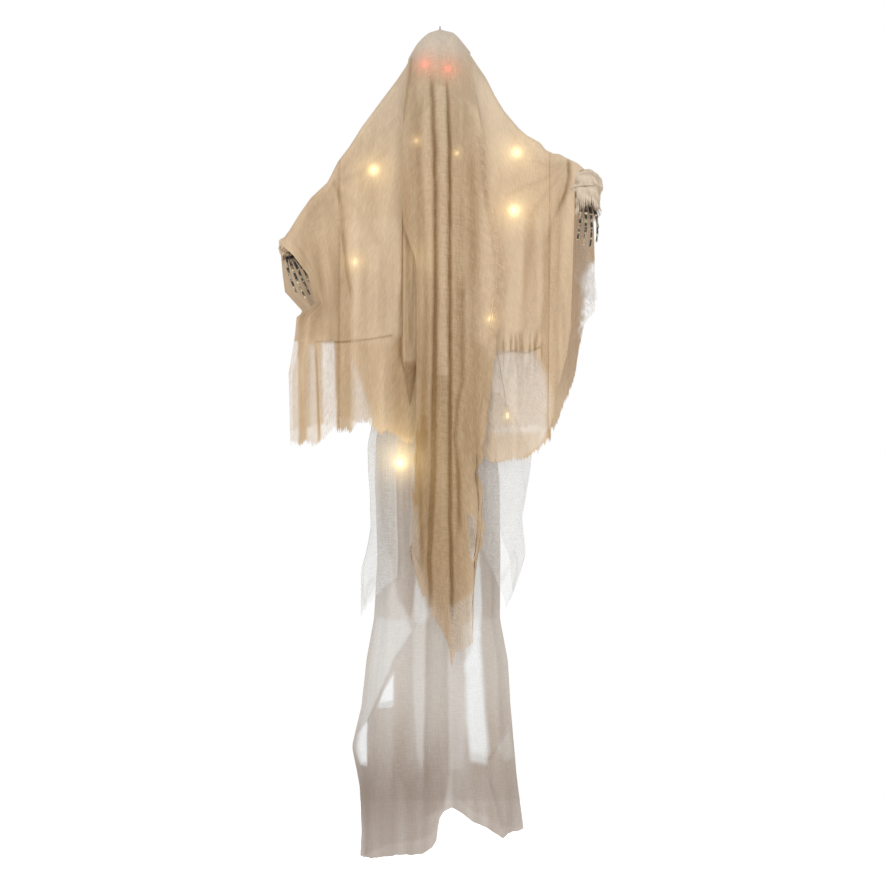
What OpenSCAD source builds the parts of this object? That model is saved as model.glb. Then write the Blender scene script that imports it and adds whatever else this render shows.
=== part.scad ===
// Hanging light-up ghost, life size: a plastic head with lit eyes on a hanging rod, two posable
// arms with skeleton hands, gauze veil, cape, sleeves and a long sheer robe.
// Millimetres, +Z up, front towards -Y, +X to the viewer's right, origin at the hanging eye.

/* [Hanging eye and rod] */
// Radius of the hole in the hanging eye
eye_bore_r = 3; // [2:0.5:5]
// Wire width of the hanging eye's ring
eye_wire = 2; // [1.5:0.5:4]
// Thickness of the hanging eye along its hole
eye_t = 3; // [2:0.5:6]
// Radius of the rod that carries head and shoulders
rod_r = 3; // [2.5:0.5:4]

/* [Head] */
// Width of the plastic head
head_w = 138; // [130:1:142]
// Height of the plastic head
head_h = 182; // [174:1:188]
// Wall of the head shells
head_wall = 2.4; // [1.6:0.2:4]
// Distance from the crown of the cloth to the top of the head
crown_gap = 15; // [10:1:18]
// Roll of the head to its lower side, degrees
head_roll = 12; // [0:1:15]
// Turn of the head to the viewer's left, degrees
head_turn = 8; // [0:1:15]
// Distance between the eyes
eye_spacing = 60; // [50:1:70]
// Height of the eyes below the middle of the head's ball
eye_drop = 14; // [5:1:25]
// Radius of an eye lamp
eye_led_r = 4; // [2.5:0.5:5]

/* [Shoulders and arms] */
// Distance from the middle to a shoulder hinge
shoulder_x = 95; // [85:1:105]
// Distance from the hanging eye down to the shoulder hinges
shoulder_drop = 222; // [216:1:232]
// Length of an upper arm between its hinges
upper_len = 250; // [235:1:262]
// Length of a forearm between its hinges
fore_len = 230; // [218:1:240]
// Radius of the arm tubes
arm_r = 9; // [7:0.5:10]
// Wall of the arm tubes
arm_wall = 1.8; // [1.2:0.2:3]
// Radius of the hinge bolts
bolt_r = 3; // [2.5:0.25:4]
// Radial clearance of a bolt in its hinge
bolt_play = 0.05; // [0.02:0.01:0.08]
// Thickness of a hinge tongue
tongue_t = 8; // [6:0.5:10]
// Thickness of a hinge ear
ear_t = 4; // [3:0.5:6]
// Side gap between a tongue and an ear
ear_gap = 0.4; // [0.3:0.1:0.8]
// Radius of the hinge ears
ear_r = 11; // [9:0.5:12]
// Dip of the left upper arm below level, degrees
left_dip = 42.5; // [38:0.5:46]
// Dip of the right upper arm below level, degrees
right_dip = 32; // [28:0.5:36]

/* [Hands] */
// Length of a palm from the wrist hinge to the knuckles
palm_len = 74; // [66:1:82]
// Width of a palm across the knuckles
palm_w = 56; // [48:1:64]
// Length of the middle finger
finger_len = 82; // [72:1:92]
// Radius of a finger bone at its waist
bone_r = 3; // [2.4:0.2:4]

/* [Battery case] */
// Width of the battery case
case_w = 58; // [56:1:66]
// Height of the battery case
case_h = 78; // [74:1:86]
// Depth of the battery case
case_d = 24; // [22:1:28]
// Wall of the battery case
case_wall = 2; // [1.6:0.2:3]
// Radius of a battery cell
cell_r = 7.2; // [7:0.1:7.25]
// Length of a battery cell
cell_len = 50; // [48:0.5:51]
// Travel of the power switch
switch_travel = 4; // [2:0.5:5]

/* [Cloth] */
// Full drop from the hanging eye to the lowest point of the robe
total_drop = 2139; // [2000:1:2250]
// Thickness of the gauze as modelled
cloth_t = 1.2; // [0.8:0.1:1.6]
// Distance from the cape out to the veil that lies over it
veil_lift = 6; // [5:0.5:9]
// Depth of the main folds in the cape and sleeves
cape_fold = 13; // [6:1:18]
// Depth of the main folds in the veil
veil_fold = 15; // [8:1:20]
// Depth of the main folds in the robe
robe_fold = 15; // [6:1:20]
// Radius of the hoop that carries the robe
hoop_r = 80; // [72:1:84]
// Radius of the hoop's wire
hoop_wire_r = 2.5; // [2:0.25:3]

/* [Lights] */
// Radius of a warm bulb
bulb_r = 4; // [3:0.5:5]
// Length of a warm bulb
bulb_len = 14; // [10:1:18]
// Diameter of the light strings' wire
string_d = 2.4; // [2:0.2:3]

/* [Hidden] */

round_fn = 48;
small_fn = 32;
overrun = 1;
fit_gap = 0.3;

// The frame of the figure
eye_ring_r = eye_bore_r + eye_wire;
left_heading = 205;
right_heading = -22;
left_bend = 9.5;
right_bend = 44;
right_roll = -90;
left_wrist_roll = 32.5;
left_wrist_bend = 55.5;
right_wrist_roll = 105.7;
right_wrist_bend = 43.2;
left_shoulder = [-shoulder_x, 0, -shoulder_drop];
right_shoulder = [shoulder_x, 0, -shoulder_drop];

// Directions and places along the arms
function turn_x(v, a) = [v.x, v.y * cos(a) - v.z * sin(a), v.y * sin(a) + v.z * cos(a)];
function turn_y(v, a) = [v.x * cos(a) + v.z * sin(a), v.y, v.z * cos(a) - v.x * sin(a)];
function turn_z(v, a) = [v.x * cos(a) - v.y * sin(a), v.x * sin(a) + v.y * cos(a), v.z];
function upper_way(v, dip, heading) = turn_z(turn_y(v, dip), heading);
function fore_way(v, bend, roll, dip, heading) = upper_way(turn_x(turn_y(v, bend), roll), dip, heading);
left_elbow = left_shoulder + upper_way([upper_len, 0, 0], left_dip, left_heading);
right_elbow = right_shoulder + upper_way([upper_len, 0, 0], right_dip, right_heading);
left_wrist = left_elbow + fore_way([fore_len, 0, 0], left_bend, 0, left_dip, left_heading);
right_wrist = right_elbow + fore_way([fore_len, 0, 0], right_bend, right_roll, right_dip, right_heading);

// Places its children, drawn on an arm's own straight line along +X with the hinges along Y
module left_at(part) {
  translate(left_shoulder) rotate([0, 0, left_heading]) rotate([0, left_dip, 0])
    if (part == "upper") children();
    else translate([upper_len, 0, 0]) rotate([0, left_bend, 0])
      if (part == "fore") children();
      else translate([fore_len, 0, 0]) rotate([left_wrist_roll, 0, 0]) rotate([0, left_wrist_bend, 0])
        children();
}
module right_at(part) {
  translate(right_shoulder) rotate([0, 0, right_heading]) rotate([0, right_dip, 0])
    if (part == "upper") children();
    else translate([upper_len, 0, 0]) rotate([right_roll, 0, 0]) rotate([0, right_bend, 0])
      if (part == "fore") children();
      else translate([fore_len, 0, 0]) rotate([right_wrist_roll, 0, 0]) rotate([0, right_wrist_bend, 0])
        children();
}

// A rod or disc along Y, centred on the origin
module along_y(r, len) {
  rotate([90, 0, 0]) cylinder(r = r, h = len, center = true, $fn = round_fn);
}

// Hinge parts: the fork's two ears with their web behind, the tongue between them, and the bolt
fork_gap = tongue_t + 2 * ear_gap;
fork_w = fork_gap + 2 * ear_t;
web_t = 6;
ear_reach = ear_r + web_t / 4;
module fork() {
  difference() {
    union() {
      for (side = [-1, 1]) translate([0, side * (fork_gap + ear_t) / 2, 0]) {
        along_y(ear_r, ear_t);
        translate([-(ear_reach + web_t) / 2, 0, 0])
          cube([ear_reach + web_t, ear_t, 2 * ear_r], center = true);
      }
      translate([-ear_reach - web_t / 2, 0, 0]) cube([web_t, fork_w, 2 * ear_r], center = true);
    }
    along_y(bolt_r + bolt_play, fork_w + overrun);
  }
}
tongue_r = ear_r - fit_gap;
neck_h = 1.4 * ear_r;
module tongue(reach) {
  difference() {
    union() {
      along_y(tongue_r, tongue_t);
      translate([0, -tongue_t / 2, -neck_h / 2]) cube([reach, tongue_t, neck_h]);
    }
    along_y(bolt_r + bolt_play, tongue_t + overrun);
  }
}
bolt_head_t = 2.4;
bolt_head_r = bolt_r * 1.8;
nut_t = 2.6;
module hinge_bolt() {
  color("silver") {
    along_y(bolt_r, fork_w + bolt_play);
    translate([0, -(fork_w + bolt_head_t) / 2 - bolt_play, 0]) along_y(bolt_head_r, bolt_head_t + bolt_play);
    translate([0, (fork_w + nut_t) / 2 + bolt_play, 0]) along_y(bolt_head_r, nut_t + bolt_play);
  }
}

// Hanging rod, with the eye at its top
block_h = 3 * arm_r;
block_d = 3 * arm_r;
neck_nut_t = 2 * nut_t;
rod_end = -shoulder_drop - block_h / 2 - 2 * neck_nut_t;
rod_len = -rod_end - eye_bore_r - eye_wire / 2;
module hanging_eye() {
  color("silver") {
    rotate([0, 90, 0]) difference() {
      cylinder(r = eye_ring_r, h = eye_t, center = true, $fn = round_fn);
      cylinder(r = eye_bore_r, h = eye_t + overrun, center = true, $fn = round_fn);
    }
    translate([0, 0, rod_end]) cylinder(r = rod_r, h = rod_len, $fn = small_fn);
  }
}

// Head: a hollow egg in a front and a rear shell, turned and rolled, with screw bosses inside
head_r = head_w / 2;
head_ball_z = -eye_ring_r - crown_gap - head_r;
chin_drop = head_h - head_r;
crown_hole_r = 2 * rod_r;
neck_hole_r = 20;
jaw_shares = [[0.985, 0.12], [0.93, 0.3], [0.83, 0.5], [0.68, 0.72], [0.48, 0.9], [0.3, 1]];
crown_step = 9;
function egg(wall) = concat(
  [[0, -(chin_drop - wall)]],
  [for (k = [len(jaw_shares) - 1 : -1 : 0])
    [jaw_shares[k][0] * (head_r - wall), -jaw_shares[k][1] * (chin_drop - wall)]],
  [for (a = [0 : crown_step : 90]) [(head_r - wall) * cos(a), (head_r - wall) * sin(a)]]);
module head_pose() {
  translate([0, 0, head_ball_z]) rotate([0, head_roll, -head_turn]) children();
}
module head_form(wall) {
  rotate_extrude(angle = 360, $fn = round_fn) polygon(egg(wall));
}
module half_space(side) {
  translate([-head_w, side > 0 ? seam_gap / 2 : -head_w - seam_gap / 2, -head_h])
    cube([2 * head_w, head_w, 2 * head_h]);
}
seam_gap = 0.2;
screw_r = 1.5;
screw_head_r = 3;
screw_head_t = 2;
boss_r = 5;
screw_seat = 18;
front_thread = 12;
boss_shares = [[-0.74, 0.2], [0.74, 0.2], [-0.56, -0.72], [0.56, -0.72]];
module at_bosses() {
  for (s = boss_shares) translate([s[0] * head_r, 0, s[1] * head_r]) rotate([-90, 0, 0]) children();
}
module head_half(side) {
  difference() {
    intersection() {
      union() {
        difference() {
          head_form(0);
          head_form(head_wall);
        }
        intersection() {
          head_form(head_wall / 2);
          at_bosses() cylinder(r = boss_r, h = 2 * head_w, center = true, $fn = small_fn);
        }
      }
      half_space(side);
    }
    at_bosses() translate([0, 0, -front_thread])
      cylinder(r = screw_r + bolt_play, h = front_thread + screw_seat, $fn = small_fn);
    at_bosses() translate([0, 0, screw_seat])
      cylinder(r = screw_head_r + fit_gap, h = head_w, $fn = small_fn);
    for (s = [-1, 1]) translate([s * eye_spacing / 2, 0, -eye_drop]) rotate([90, 0, 0])
      cylinder(r = bezel_r + fit_gap, h = head_w, $fn = small_fn);
    rotate([0, 0, head_turn]) rotate([0, -head_roll, 0]) {
      cylinder(r = crown_hole_r, h = head_w, $fn = small_fn);
      translate([0, 0, -head_h]) cylinder(r = neck_hole_r, h = head_h - head_r / 2, $fn = small_fn);
    }
  }
}
module head_front() {
  color("dimgray") head_pose() head_half(-1);
}
module head_rear() {
  color("dimgray") head_pose() head_half(1);
}
module head_screws() {
  color("silver") head_pose() at_bosses() {
    translate([0, 0, -front_thread + fit_gap])
      cylinder(r = screw_r, h = front_thread + screw_seat, $fn = small_fn);
    translate([0, 0, screw_seat + bolt_play]) cylinder(r = screw_head_r, h = screw_head_t, $fn = small_fn);
  }
}

// Eyes: red lamps in bezels that pass through the front shell
bezel_wall = 1.2;
bezel_r = eye_led_r + bezel_wall;
bezel_flange = 2;
bezel_flange_t = 1.4;
eye_face = sqrt(head_r * head_r - pow(eye_spacing / 2 - bezel_r - bezel_flange, 2) - eye_drop * eye_drop);
bezel_len = 16;
module at_eyes() {
  head_pose() for (s = [-1, 1]) translate([s * eye_spacing / 2, -eye_face - fit_gap, -eye_drop])
    rotate([90, 0, 0]) children();
}
module eye_bezels() {
  color("black") at_eyes() difference() {
    union() {
      translate([0, 0, -bezel_len]) cylinder(r = bezel_r, h = bezel_len + bezel_flange_t, $fn = small_fn);
      cylinder(r = bezel_r + bezel_flange, h = bezel_flange_t, $fn = small_fn);
    }
    translate([0, 0, -bezel_len - overrun]) cylinder(r = eye_led_r + bolt_play,
      h = bezel_len + 3 * overrun, $fn = small_fn);
  }
}
module eye_lamps() {
  color("red") at_eyes() {
    translate([0, 0, -bezel_len]) cylinder(r = eye_led_r, h = bezel_len + bezel_flange_t, $fn = small_fn);
    translate([0, 0, bezel_flange_t]) sphere(r = eye_led_r, $fn = small_fn);
  }
}

// Neck: a washer inside the crown, a stepped plug in the neck hole and the nut that clamps the block
crown_washer_t = 1.5;
crown_washer_r = 2 * crown_hole_r;
crown_inner_z = head_ball_z + sqrt(pow(head_r - head_wall, 2) - pow(crown_washer_r, 2)) - fit_gap;
module crown_washer() {
  color("silver") translate([0, 0, crown_inner_z - crown_washer_t]) difference() {
    union() {
      cylinder(r = crown_washer_r, h = crown_washer_t, $fn = round_fn);
      translate([0, 0, -nut_t]) cylinder(r = 2 * rod_r, h = nut_t + crown_washer_t / 2, $fn = small_fn);
    }
    translate([0, 0, -nut_t - overrun]) cylinder(r = rod_r + bolt_play,
      h = nut_t + crown_washer_t + 2 * overrun, $fn = small_fn);
  }
}
block_top = -shoulder_drop + block_h / 2;
plug_collar_r = neck_hole_r * 0.8;
plug_top = block_top + 1.5 * neck_hole_r;
module neck_plug() {
  color("dimgray") difference() {
    translate([0, 0, block_top]) cylinder(r = plug_collar_r, h = plug_top - block_top, $fn = round_fn);
    translate([0, 0, block_top - overrun]) cylinder(r = rod_r + bolt_play,
      h = plug_top - block_top + 2 * overrun, $fn = small_fn);
  }
}
module neck_nut() {
  color("silver") translate([0, 0, -shoulder_drop - block_h / 2 - neck_nut_t]) difference() {
    cylinder(r = 2 * rod_r, h = neck_nut_t, $fn = small_fn);
    translate([0, 0, -overrun]) cylinder(r = rod_r + bolt_play, h = neck_nut_t + 2 * overrun, $fn = small_fn);
  }
}

// Shoulder block, its two forks on studs, and the spine tube below it
block_half = shoulder_x - ear_reach - web_t - ear_r;
stud_r = 4;
stud_len = 30;
spine_r = 10;
spine_wall = 2;
spine_len = 290;
spine_socket = 14;
spine_top = -shoulder_drop - block_h / 2 + spine_socket;
spine_low = spine_top - spine_len;
module shoulder_block() {
  color("dimgray") difference() {
    translate([-block_half, -block_d / 2, -shoulder_drop - block_h / 2])
      cube([2 * block_half, block_d, block_h]);
    translate([0, 0, -shoulder_drop - block_h])
      cylinder(r = rod_r + bolt_play, h = 2 * block_h, $fn = small_fn);
    translate([0, 0, -shoulder_drop - block_h])
      cylinder(r = spine_r + bolt_play, h = block_h / 2 + spine_socket, $fn = round_fn);
    for (side = [-1, 1]) translate([side * block_half, 0, -shoulder_drop]) rotate([0, 90, 0])
      cylinder(r = stud_r + bolt_play, h = 2 * stud_len, center = true, $fn = small_fn);
    for (side = [-1, 1]) translate([side * (block_half - stud_len / 2), 0, -shoulder_drop]) rotate([90, 0, 0])
      cylinder(r = screw_r + bolt_play, h = 2 * block_d, center = true, $fn = small_fn);
  }
}
module spine_tube() {
  color("dimgray") difference() {
    translate([0, 0, spine_low]) cylinder(r = spine_r, h = spine_len, $fn = round_fn);
    translate([0, 0, spine_low - overrun]) cylinder(r = spine_r - spine_wall, h = spine_len + 2 * overrun,
      $fn = round_fn);
  }
}
module yoke(side, heading) {
  difference() {
    translate([side * shoulder_x, 0, -shoulder_drop]) {
      rotate([0, 0, heading]) fork();
      difference() {
        translate([-side * (ear_r + ear_reach + web_t), 0, 0]) rotate([0, side * 90, 0])
          cylinder(r = ear_r, h = ear_r + web_t / 2, $fn = round_fn);
        rotate([0, 0, heading]) translate([-ear_reach, -fork_w, -fork_w])
          cube([fork_w, 2 * fork_w, 2 * fork_w]);
      }
      translate([-side * (ear_r + ear_reach + web_t + stud_len - fit_gap), 0, 0]) rotate([0, side * 90, 0])
        cylinder(r = stud_r, h = stud_len + ear_r / 2, $fn = small_fn);
    }
    translate([side * (block_half - stud_len / 2), 0, -shoulder_drop]) rotate([90, 0, 0])
      cylinder(r = screw_r + bolt_play, h = 2 * block_d, center = true, $fn = small_fn);
  }
}
module left_yoke() { color("gray") yoke(-1, left_heading); }
module right_yoke() { color("gray") yoke(1, right_heading); }
module yoke_screws() {
  color("silver") for (side = [-1, 1]) translate([side * (block_half - stud_len / 2), 0, -shoulder_drop]) {
    along_y(screw_r, block_d + bolt_play);
    translate([0, -(block_d + screw_head_t) / 2 - bolt_play, 0])
      along_y(screw_head_r, screw_head_t + bolt_play);
  }
}

// Arms: tubes with a tongue at one end and a fork at the other
tube_start = ear_reach + web_t;
plug_len = 12;
module arm_part(len, fork_roll) {
  tube_end = len - ear_reach - web_t / 2;
  tongue(tube_start + plug_len);
  difference() {
    translate([tube_start, 0, 0]) rotate([0, 90, 0])
      cylinder(r = arm_r, h = tube_end - tube_start, $fn = round_fn);
    translate([tube_start + plug_len, 0, 0]) rotate([0, 90, 0])
      cylinder(r = arm_r - arm_wall, h = tube_end - tube_start - plug_len - web_t, $fn = round_fn);
  }
  translate([len, 0, 0]) rotate([fork_roll, 0, 0]) fork();
}
module left_shoulder_bolt() { left_at("upper") hinge_bolt(); }
module right_shoulder_bolt() { right_at("upper") hinge_bolt(); }
module left_upper_arm() { color("gray") left_at("upper") arm_part(upper_len, 0); }
module right_upper_arm() { color("gray") right_at("upper") arm_part(upper_len, right_roll); }
module left_elbow_bolt() { left_at("fore") hinge_bolt(); }
module right_elbow_bolt() { right_at("fore") hinge_bolt(); }
module left_forearm() { color("gray") left_at("fore") arm_part(fore_len, left_wrist_roll); }
module right_forearm() { color("gray") right_at("fore") arm_part(fore_len, right_wrist_roll); }
module left_wrist_bolt() { left_at("hand") hinge_bolt(); }
module right_wrist_bolt() { right_at("hand") hinge_bolt(); }

// Hands: palm bones, four fingers of three bones and a thumb of two, moulded in one piece
finger_row_shares = [-0.39, -0.13, 0.13, 0.39];
finger_len_shares = [0.84, 0.97, 1, 0.8];
bone_len_shares = [0.45, 0.3, 0.25];
bone_r_shares = [1, 0.88, 0.72];
knuckle_share = 1.4;
finger_splay = 10;
module bone(len, r) {
  rotate([0, 90, 0]) cylinder(r = r, h = len, $fn = small_fn);
  sphere(r = r * knuckle_share, $fn = small_fn);
}
module finger(len, curl, first) {
  if (first < len(bone_len_shares)) {
    bone(len * bone_len_shares[first], bone_r * bone_r_shares[first]);
    translate([len * bone_len_shares[first], 0, 0]) rotate([0, curl, 0]) finger(len, curl, first + 1);
  } else {
    sphere(r = bone_r * 0.9, $fn = small_fn);
  }
}
module hand(twist, curl, thumb_side, thumb_splay) {
  carpal_x = tube_start;
  tongue(carpal_x + bone_r);
  rotate([twist, 0, 0]) {
    translate([carpal_x, 0, 0]) rotate([0, 90, 0])
      cylinder(r1 = arm_r, r2 = palm_w * 0.24, h = palm_len * 0.2, $fn = small_fn);
    for (k = [0 : len(finger_row_shares) - 1]) {
      root_y = finger_row_shares[k] * palm_w * 0.45;
      tip_y = finger_row_shares[k] * palm_w;
      back = palm_len - carpal_x - palm_len * 0.1;
      translate([palm_len - back, root_y, 0]) rotate([0, 0, atan((tip_y - root_y) / back)])
        bone(norm([back, tip_y - root_y]), bone_r * 1.15);
      translate([palm_len, tip_y, 0]) rotate([0, curl * 0.6, finger_row_shares[k] * finger_splay])
        finger(finger_len * finger_len_shares[k], curl, 0);
    }
    translate([carpal_x + palm_len * 0.14, thumb_side * palm_w * 0.2, 0])
      rotate([0, curl * 0.3, thumb_side * thumb_splay])
      finger(finger_len * 0.9, curl * 0.2, 0);
  }
}
left_twist = 62;
right_twist = 0;
left_curl = 3;
right_curl = 12;
left_thumb_splay = 15;
right_thumb_splay = 13;
module left_hand() { color("ivory") left_at("hand") hand(left_twist, left_curl, -1, left_thumb_splay); }
module right_hand() { color("ivory") right_at("hand") hand(right_twist, right_curl, 1, right_thumb_splay); }

// Hoop that carries the robe, with spokes held in a hub on the spine
hoop_below = 108;
hoop_z = -shoulder_drop - hoop_below;
spoke_r = 2;
hub_wall = 8;
hub_r = spine_r + hub_wall;
spoke_seat = 1;
hub_h = 12;
module hoop_hub() {
  color("dimgray") translate([0, 0, hoop_z]) difference() {
    cylinder(r = hub_r, h = hub_h, center = true, $fn = round_fn);
    cylinder(r = spine_r + bolt_play, h = hub_h + overrun, center = true, $fn = round_fn);
    for (a = [45 : 90 : 315]) rotate([0, 90, a]) translate([0, 0, spine_r + spoke_seat])
      cylinder(r = spoke_r + bolt_play, h = hub_r, $fn = small_fn);
  }
}
module robe_hoop() {
  color("silver") translate([0, 0, hoop_z]) {
    rotate_extrude($fn = round_fn) translate([hoop_r, 0]) circle(r = hoop_wire_r, $fn = small_fn);
    for (a = [45 : 90 : 315]) rotate([0, 90, a]) translate([0, 0, spine_r + spoke_seat + fit_gap])
      cylinder(r = spoke_r, h = hoop_r - spine_r - spoke_seat - fit_gap, $fn = small_fn);
  }
}

// Battery case behind the spine, with its door, cells, contacts, board and switch
case_below = 46;
case_top = hoop_z - case_below;
case_low = case_top - case_h;
case_standoff = 2;
case_front = spine_r + case_standoff;
case_mid = case_front + case_d / 2;
case_back = case_front + case_d;
board_bay = 22;
bay_floor = case_low + board_bay;
door_t = 2;
barrel_r = 2.6;
hinge_z = case_top + barrel_r + fit_gap;
hinge_y = case_back + door_t / 2 + fit_gap;
barrel_len = case_w * 0.5;
door_pin_r = 1.4;
hinge_ear_t = 4;
clip_wall = 3;
clip_r = spine_r + clip_wall;
clip_h = 12;
knob_w = 6;
knob_stem = 4;
latch_rise = 9;
latch_z = case_low + latch_rise;
latch_r = 2;
latch_len = 4;
side_exit_rise = 11;
side_exit_z = case_low + side_exit_rise;
top_exit_x = -case_w / 4;
low_exit_x = -case_w / 3;
module string_hole() {
  cylinder(r = string_d / 2 + 3 * fit_gap, h = 3 * case_wall, center = true, $fn = small_fn);
}
module battery_case() {
  color("black") difference() {
    union() {
      translate([-case_w / 2, case_front, case_low]) cube([case_w, case_d, case_h]);
      for (z = [case_low + clip_h, case_top - 2 * clip_h]) translate([0, 0, z]) {
        cylinder(r = clip_r, h = clip_h, $fn = round_fn);
        translate([-spine_r, 0, 0]) cube([2 * spine_r, case_front + case_wall / 2, clip_h]);
      }
      for (side = [-1, 1]) translate([side * (barrel_len + hinge_ear_t + fit_gap) / 2, hinge_y, hinge_z]) {
        rotate([0, 90, 0]) cylinder(r = barrel_r, h = hinge_ear_t, center = true, $fn = small_fn);
        translate([-hinge_ear_t / 2, -barrel_r - door_t, -2 * barrel_r])
          cube([hinge_ear_t, barrel_r + door_t, 2 * barrel_r]);
      }
    }
    translate([-case_w / 2 + case_wall, case_front + case_wall, bay_floor])
      cube([case_w - 2 * case_wall, case_d, case_top - case_wall - bay_floor]);
    translate([-case_w / 2 + case_wall, case_front + case_wall, case_low + case_wall])
      cube([case_w - 2 * case_wall, case_d - 2 * case_wall, bay_floor - case_low - 2 * case_wall]);
    cylinder_span = case_top - case_low;
    translate([0, 0, case_low - overrun]) cylinder(r = spine_r + bolt_play,
      h = cylinder_span + 2 * overrun, $fn = round_fn);
    translate([0, hinge_y, hinge_z]) rotate([0, 90, 0])
      cylinder(r = door_pin_r + bolt_play, h = case_w, center = true, $fn = small_fn);
    translate([0, case_back + overrun, latch_z]) rotate([90, 0, 0])
      cylinder(r = latch_r + 2 * fit_gap, h = case_wall + 2 * overrun, $fn = small_fn);
    translate([-(knob_stem + switch_travel + 2 * fit_gap) / 2, case_mid - knob_stem / 2 - fit_gap,
      case_low - overrun])
      cube([knob_stem + switch_travel + 2 * fit_gap, knob_stem + 2 * fit_gap, case_wall + 2 * overrun]);
    for (side = [-1, 1]) translate([side * case_w / 2, case_mid, side_exit_z])
      rotate([0, 90, 0]) string_hole();
    translate([top_exit_x, case_mid, case_top]) string_hole();
    translate([low_exit_x, case_mid, case_low]) string_hole();
  }
}
module battery_door() {
  color("black") difference() {
    union() {
      translate([-case_w / 2, case_back + fit_gap, case_low]) cube([case_w, door_t, case_h - barrel_r]);
      translate([-barrel_len / 2, case_back + fit_gap, case_low])
        cube([barrel_len, door_t, hinge_z - case_low]);
      translate([0, hinge_y, hinge_z]) rotate([0, 90, 0]) {
        cylinder(r = barrel_r, h = barrel_len, center = true, $fn = small_fn);
        cylinder(r = door_pin_r, h = barrel_len + 2 * hinge_ear_t, center = true, $fn = small_fn);
      }
    }
    translate([0, case_back, latch_z]) rotate([-90, 0, 0])
      cylinder(r = latch_r + bolt_play, h = 3 * door_t, $fn = small_fn);
  }
}
module door_screw() {
  color("silver") translate([0, case_back + fit_gap + door_t, latch_z]) rotate([90, 0, 0]) {
    cylinder(r = latch_r, h = latch_len, $fn = small_fn);
    translate([0, 0, -screw_head_t - bolt_play])
      cylinder(r = 1.8 * latch_r, h = screw_head_t, $fn = small_fn);
    translate([0, 0, -screw_head_t / 2]) cylinder(r = latch_r, h = screw_head_t, $fn = small_fn);
  }
}
cell_space = 1;
button_t = 1;
cell_pitch = 2 * cell_r + cell_space;
cell_y = case_front + case_wall + cell_r + fit_gap;
cell_room = case_top - case_wall - bay_floor - cell_len;
module battery_cells() {
  color("goldenrod") for (k = [-1 : 1]) translate([k * cell_pitch, cell_y, bay_floor + cell_room / 2]) {
    cylinder(r = cell_r, h = cell_len - button_t, $fn = round_fn);
    cylinder(r = cell_r * 0.37, h = cell_len, $fn = small_fn);
  }
}
module battery_contacts() {
  color("silver") for (k = [-1 : 1]) translate([k * cell_pitch, cell_y, bay_floor]) {
    cylinder(r = cell_r * 0.6, h = cell_room / 2 - bolt_play, $fn = small_fn);
    translate([0, 0, cell_room / 2 + cell_len + bolt_play])
      cylinder(r = cell_r * 0.6, h = cell_room / 2 - 2 * bolt_play, $fn = small_fn);
  }
}
board_t = 1.6;
board_rise = 12;
module circuit_board() {
  color("green") translate([-case_w * 0.36, case_front + case_wall, case_low + board_rise]) {
    cube([case_w * 0.72, case_d - 2.5 * case_wall, board_t]);
    translate([case_w * 0.06, 2 * board_t, board_t / 2]) cube([case_w * 0.14, 5 * board_t, 1.5 * board_t]);
    translate([case_w * 0.42, 2 * board_t, board_t / 2]) cube([case_w * 0.2, 4 * board_t, 2 * board_t]);
  }
}
module switch_knob() {
  color("white") translate([-switch_travel / 2, case_mid, case_low]) {
    translate([-knob_stem / 2, -knob_stem / 2, -3 * case_wall / 2])
      cube([knob_stem, knob_stem, 3.2 * case_wall]);
    translate([-knob_w / 2, -knob_w / 2, case_wall + fit_gap]) cube([knob_w, knob_w, case_wall]);
    translate([-knob_w / 2, -knob_w / 2, -fit_gap - case_wall]) cube([knob_w, knob_w, case_wall]);
  }
}

// Wires: points chosen by hand, smoothed, and swept as one tube
string_sides = 8;
ring_steps = 4;
function mix(a, b, t) = a + (b - a) * t;
function ring_way(p, i) = let(v = p[min(i + 1, len(p) - 1)] - p[max(i - 1, 0)]) v / norm(v);
function between(p, i, t) = let(n = len(p) - 1, a = p[max(i - 1, 0)], b = p[i], c = p[min(i + 1, n)],
  d = p[min(i + 2, n)])
  (2 * b + (c - a) * t + (2 * a - 5 * b + 4 * c - d) * t * t + (3 * b - a - 3 * c + d) * t * t * t) / 2;
function smooth_route(p) = concat([for (i = [0 : len(p) - 2]) for (k = [0 : ring_steps - 1]) between(p, i,
  k / ring_steps)],
  [p[len(p) - 1]]);
function ring_at(p, i, r) = let(v = ring_way(p, i), ref = abs(v.x) < 0.8 ? [1, 0, 0] : [0, 0, 1],
    a = cross(v, ref) / norm(cross(v, ref)), b = cross(v, a))
  [for (k = [0 : string_sides - 1]) p[i] + r * (cos(k * 360 / string_sides) * a + sin(k * 360 / string_sides) * b)];
module wire(route) {
  p = smooth_route(route);
  n = len(p);
  m = string_sides;
  points = [for (i = [0 : n - 1]) each ring_at(p, i, string_d / 2)];
  walls = [for (i = [0 : n - 2]) for (k = [0 : m - 1]) let(a = i * m + k, b = i * m + (k + 1) % m)
    each [[a, b + m, b], [a, a + m, b + m]]];
  ends = [[for (k = [0 : m - 1]) k], [for (k = [m - 1 : -1 : 0]) (n - 1) * m + k]];
  polyhedron(points, concat(walls, ends));
}
robe_full_share = 2.8125;
robe_half = hoop_r * robe_full_share;
robe_lamp_shares = [-0.4533, -0.1956, -0.52454];
robe_lamp = [robe_half * robe_lamp_shares[0], robe_half * robe_lamp_shares[1],
  total_drop * robe_lamp_shares[2]];
eye_route = [[top_exit_x, case_mid, case_top - overrun], [-14, 24, -364], [-8, 26, -330], [-9, 22, -290],
  [-9, 20, -250], [-5, 21, -224], [-3, 17.8, -206], [-3, 17.8, -190], [-3, 17.8, -174], [-3, 10, -152],
  [-10, -10, -125], [-30, -36, -106]];
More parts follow.
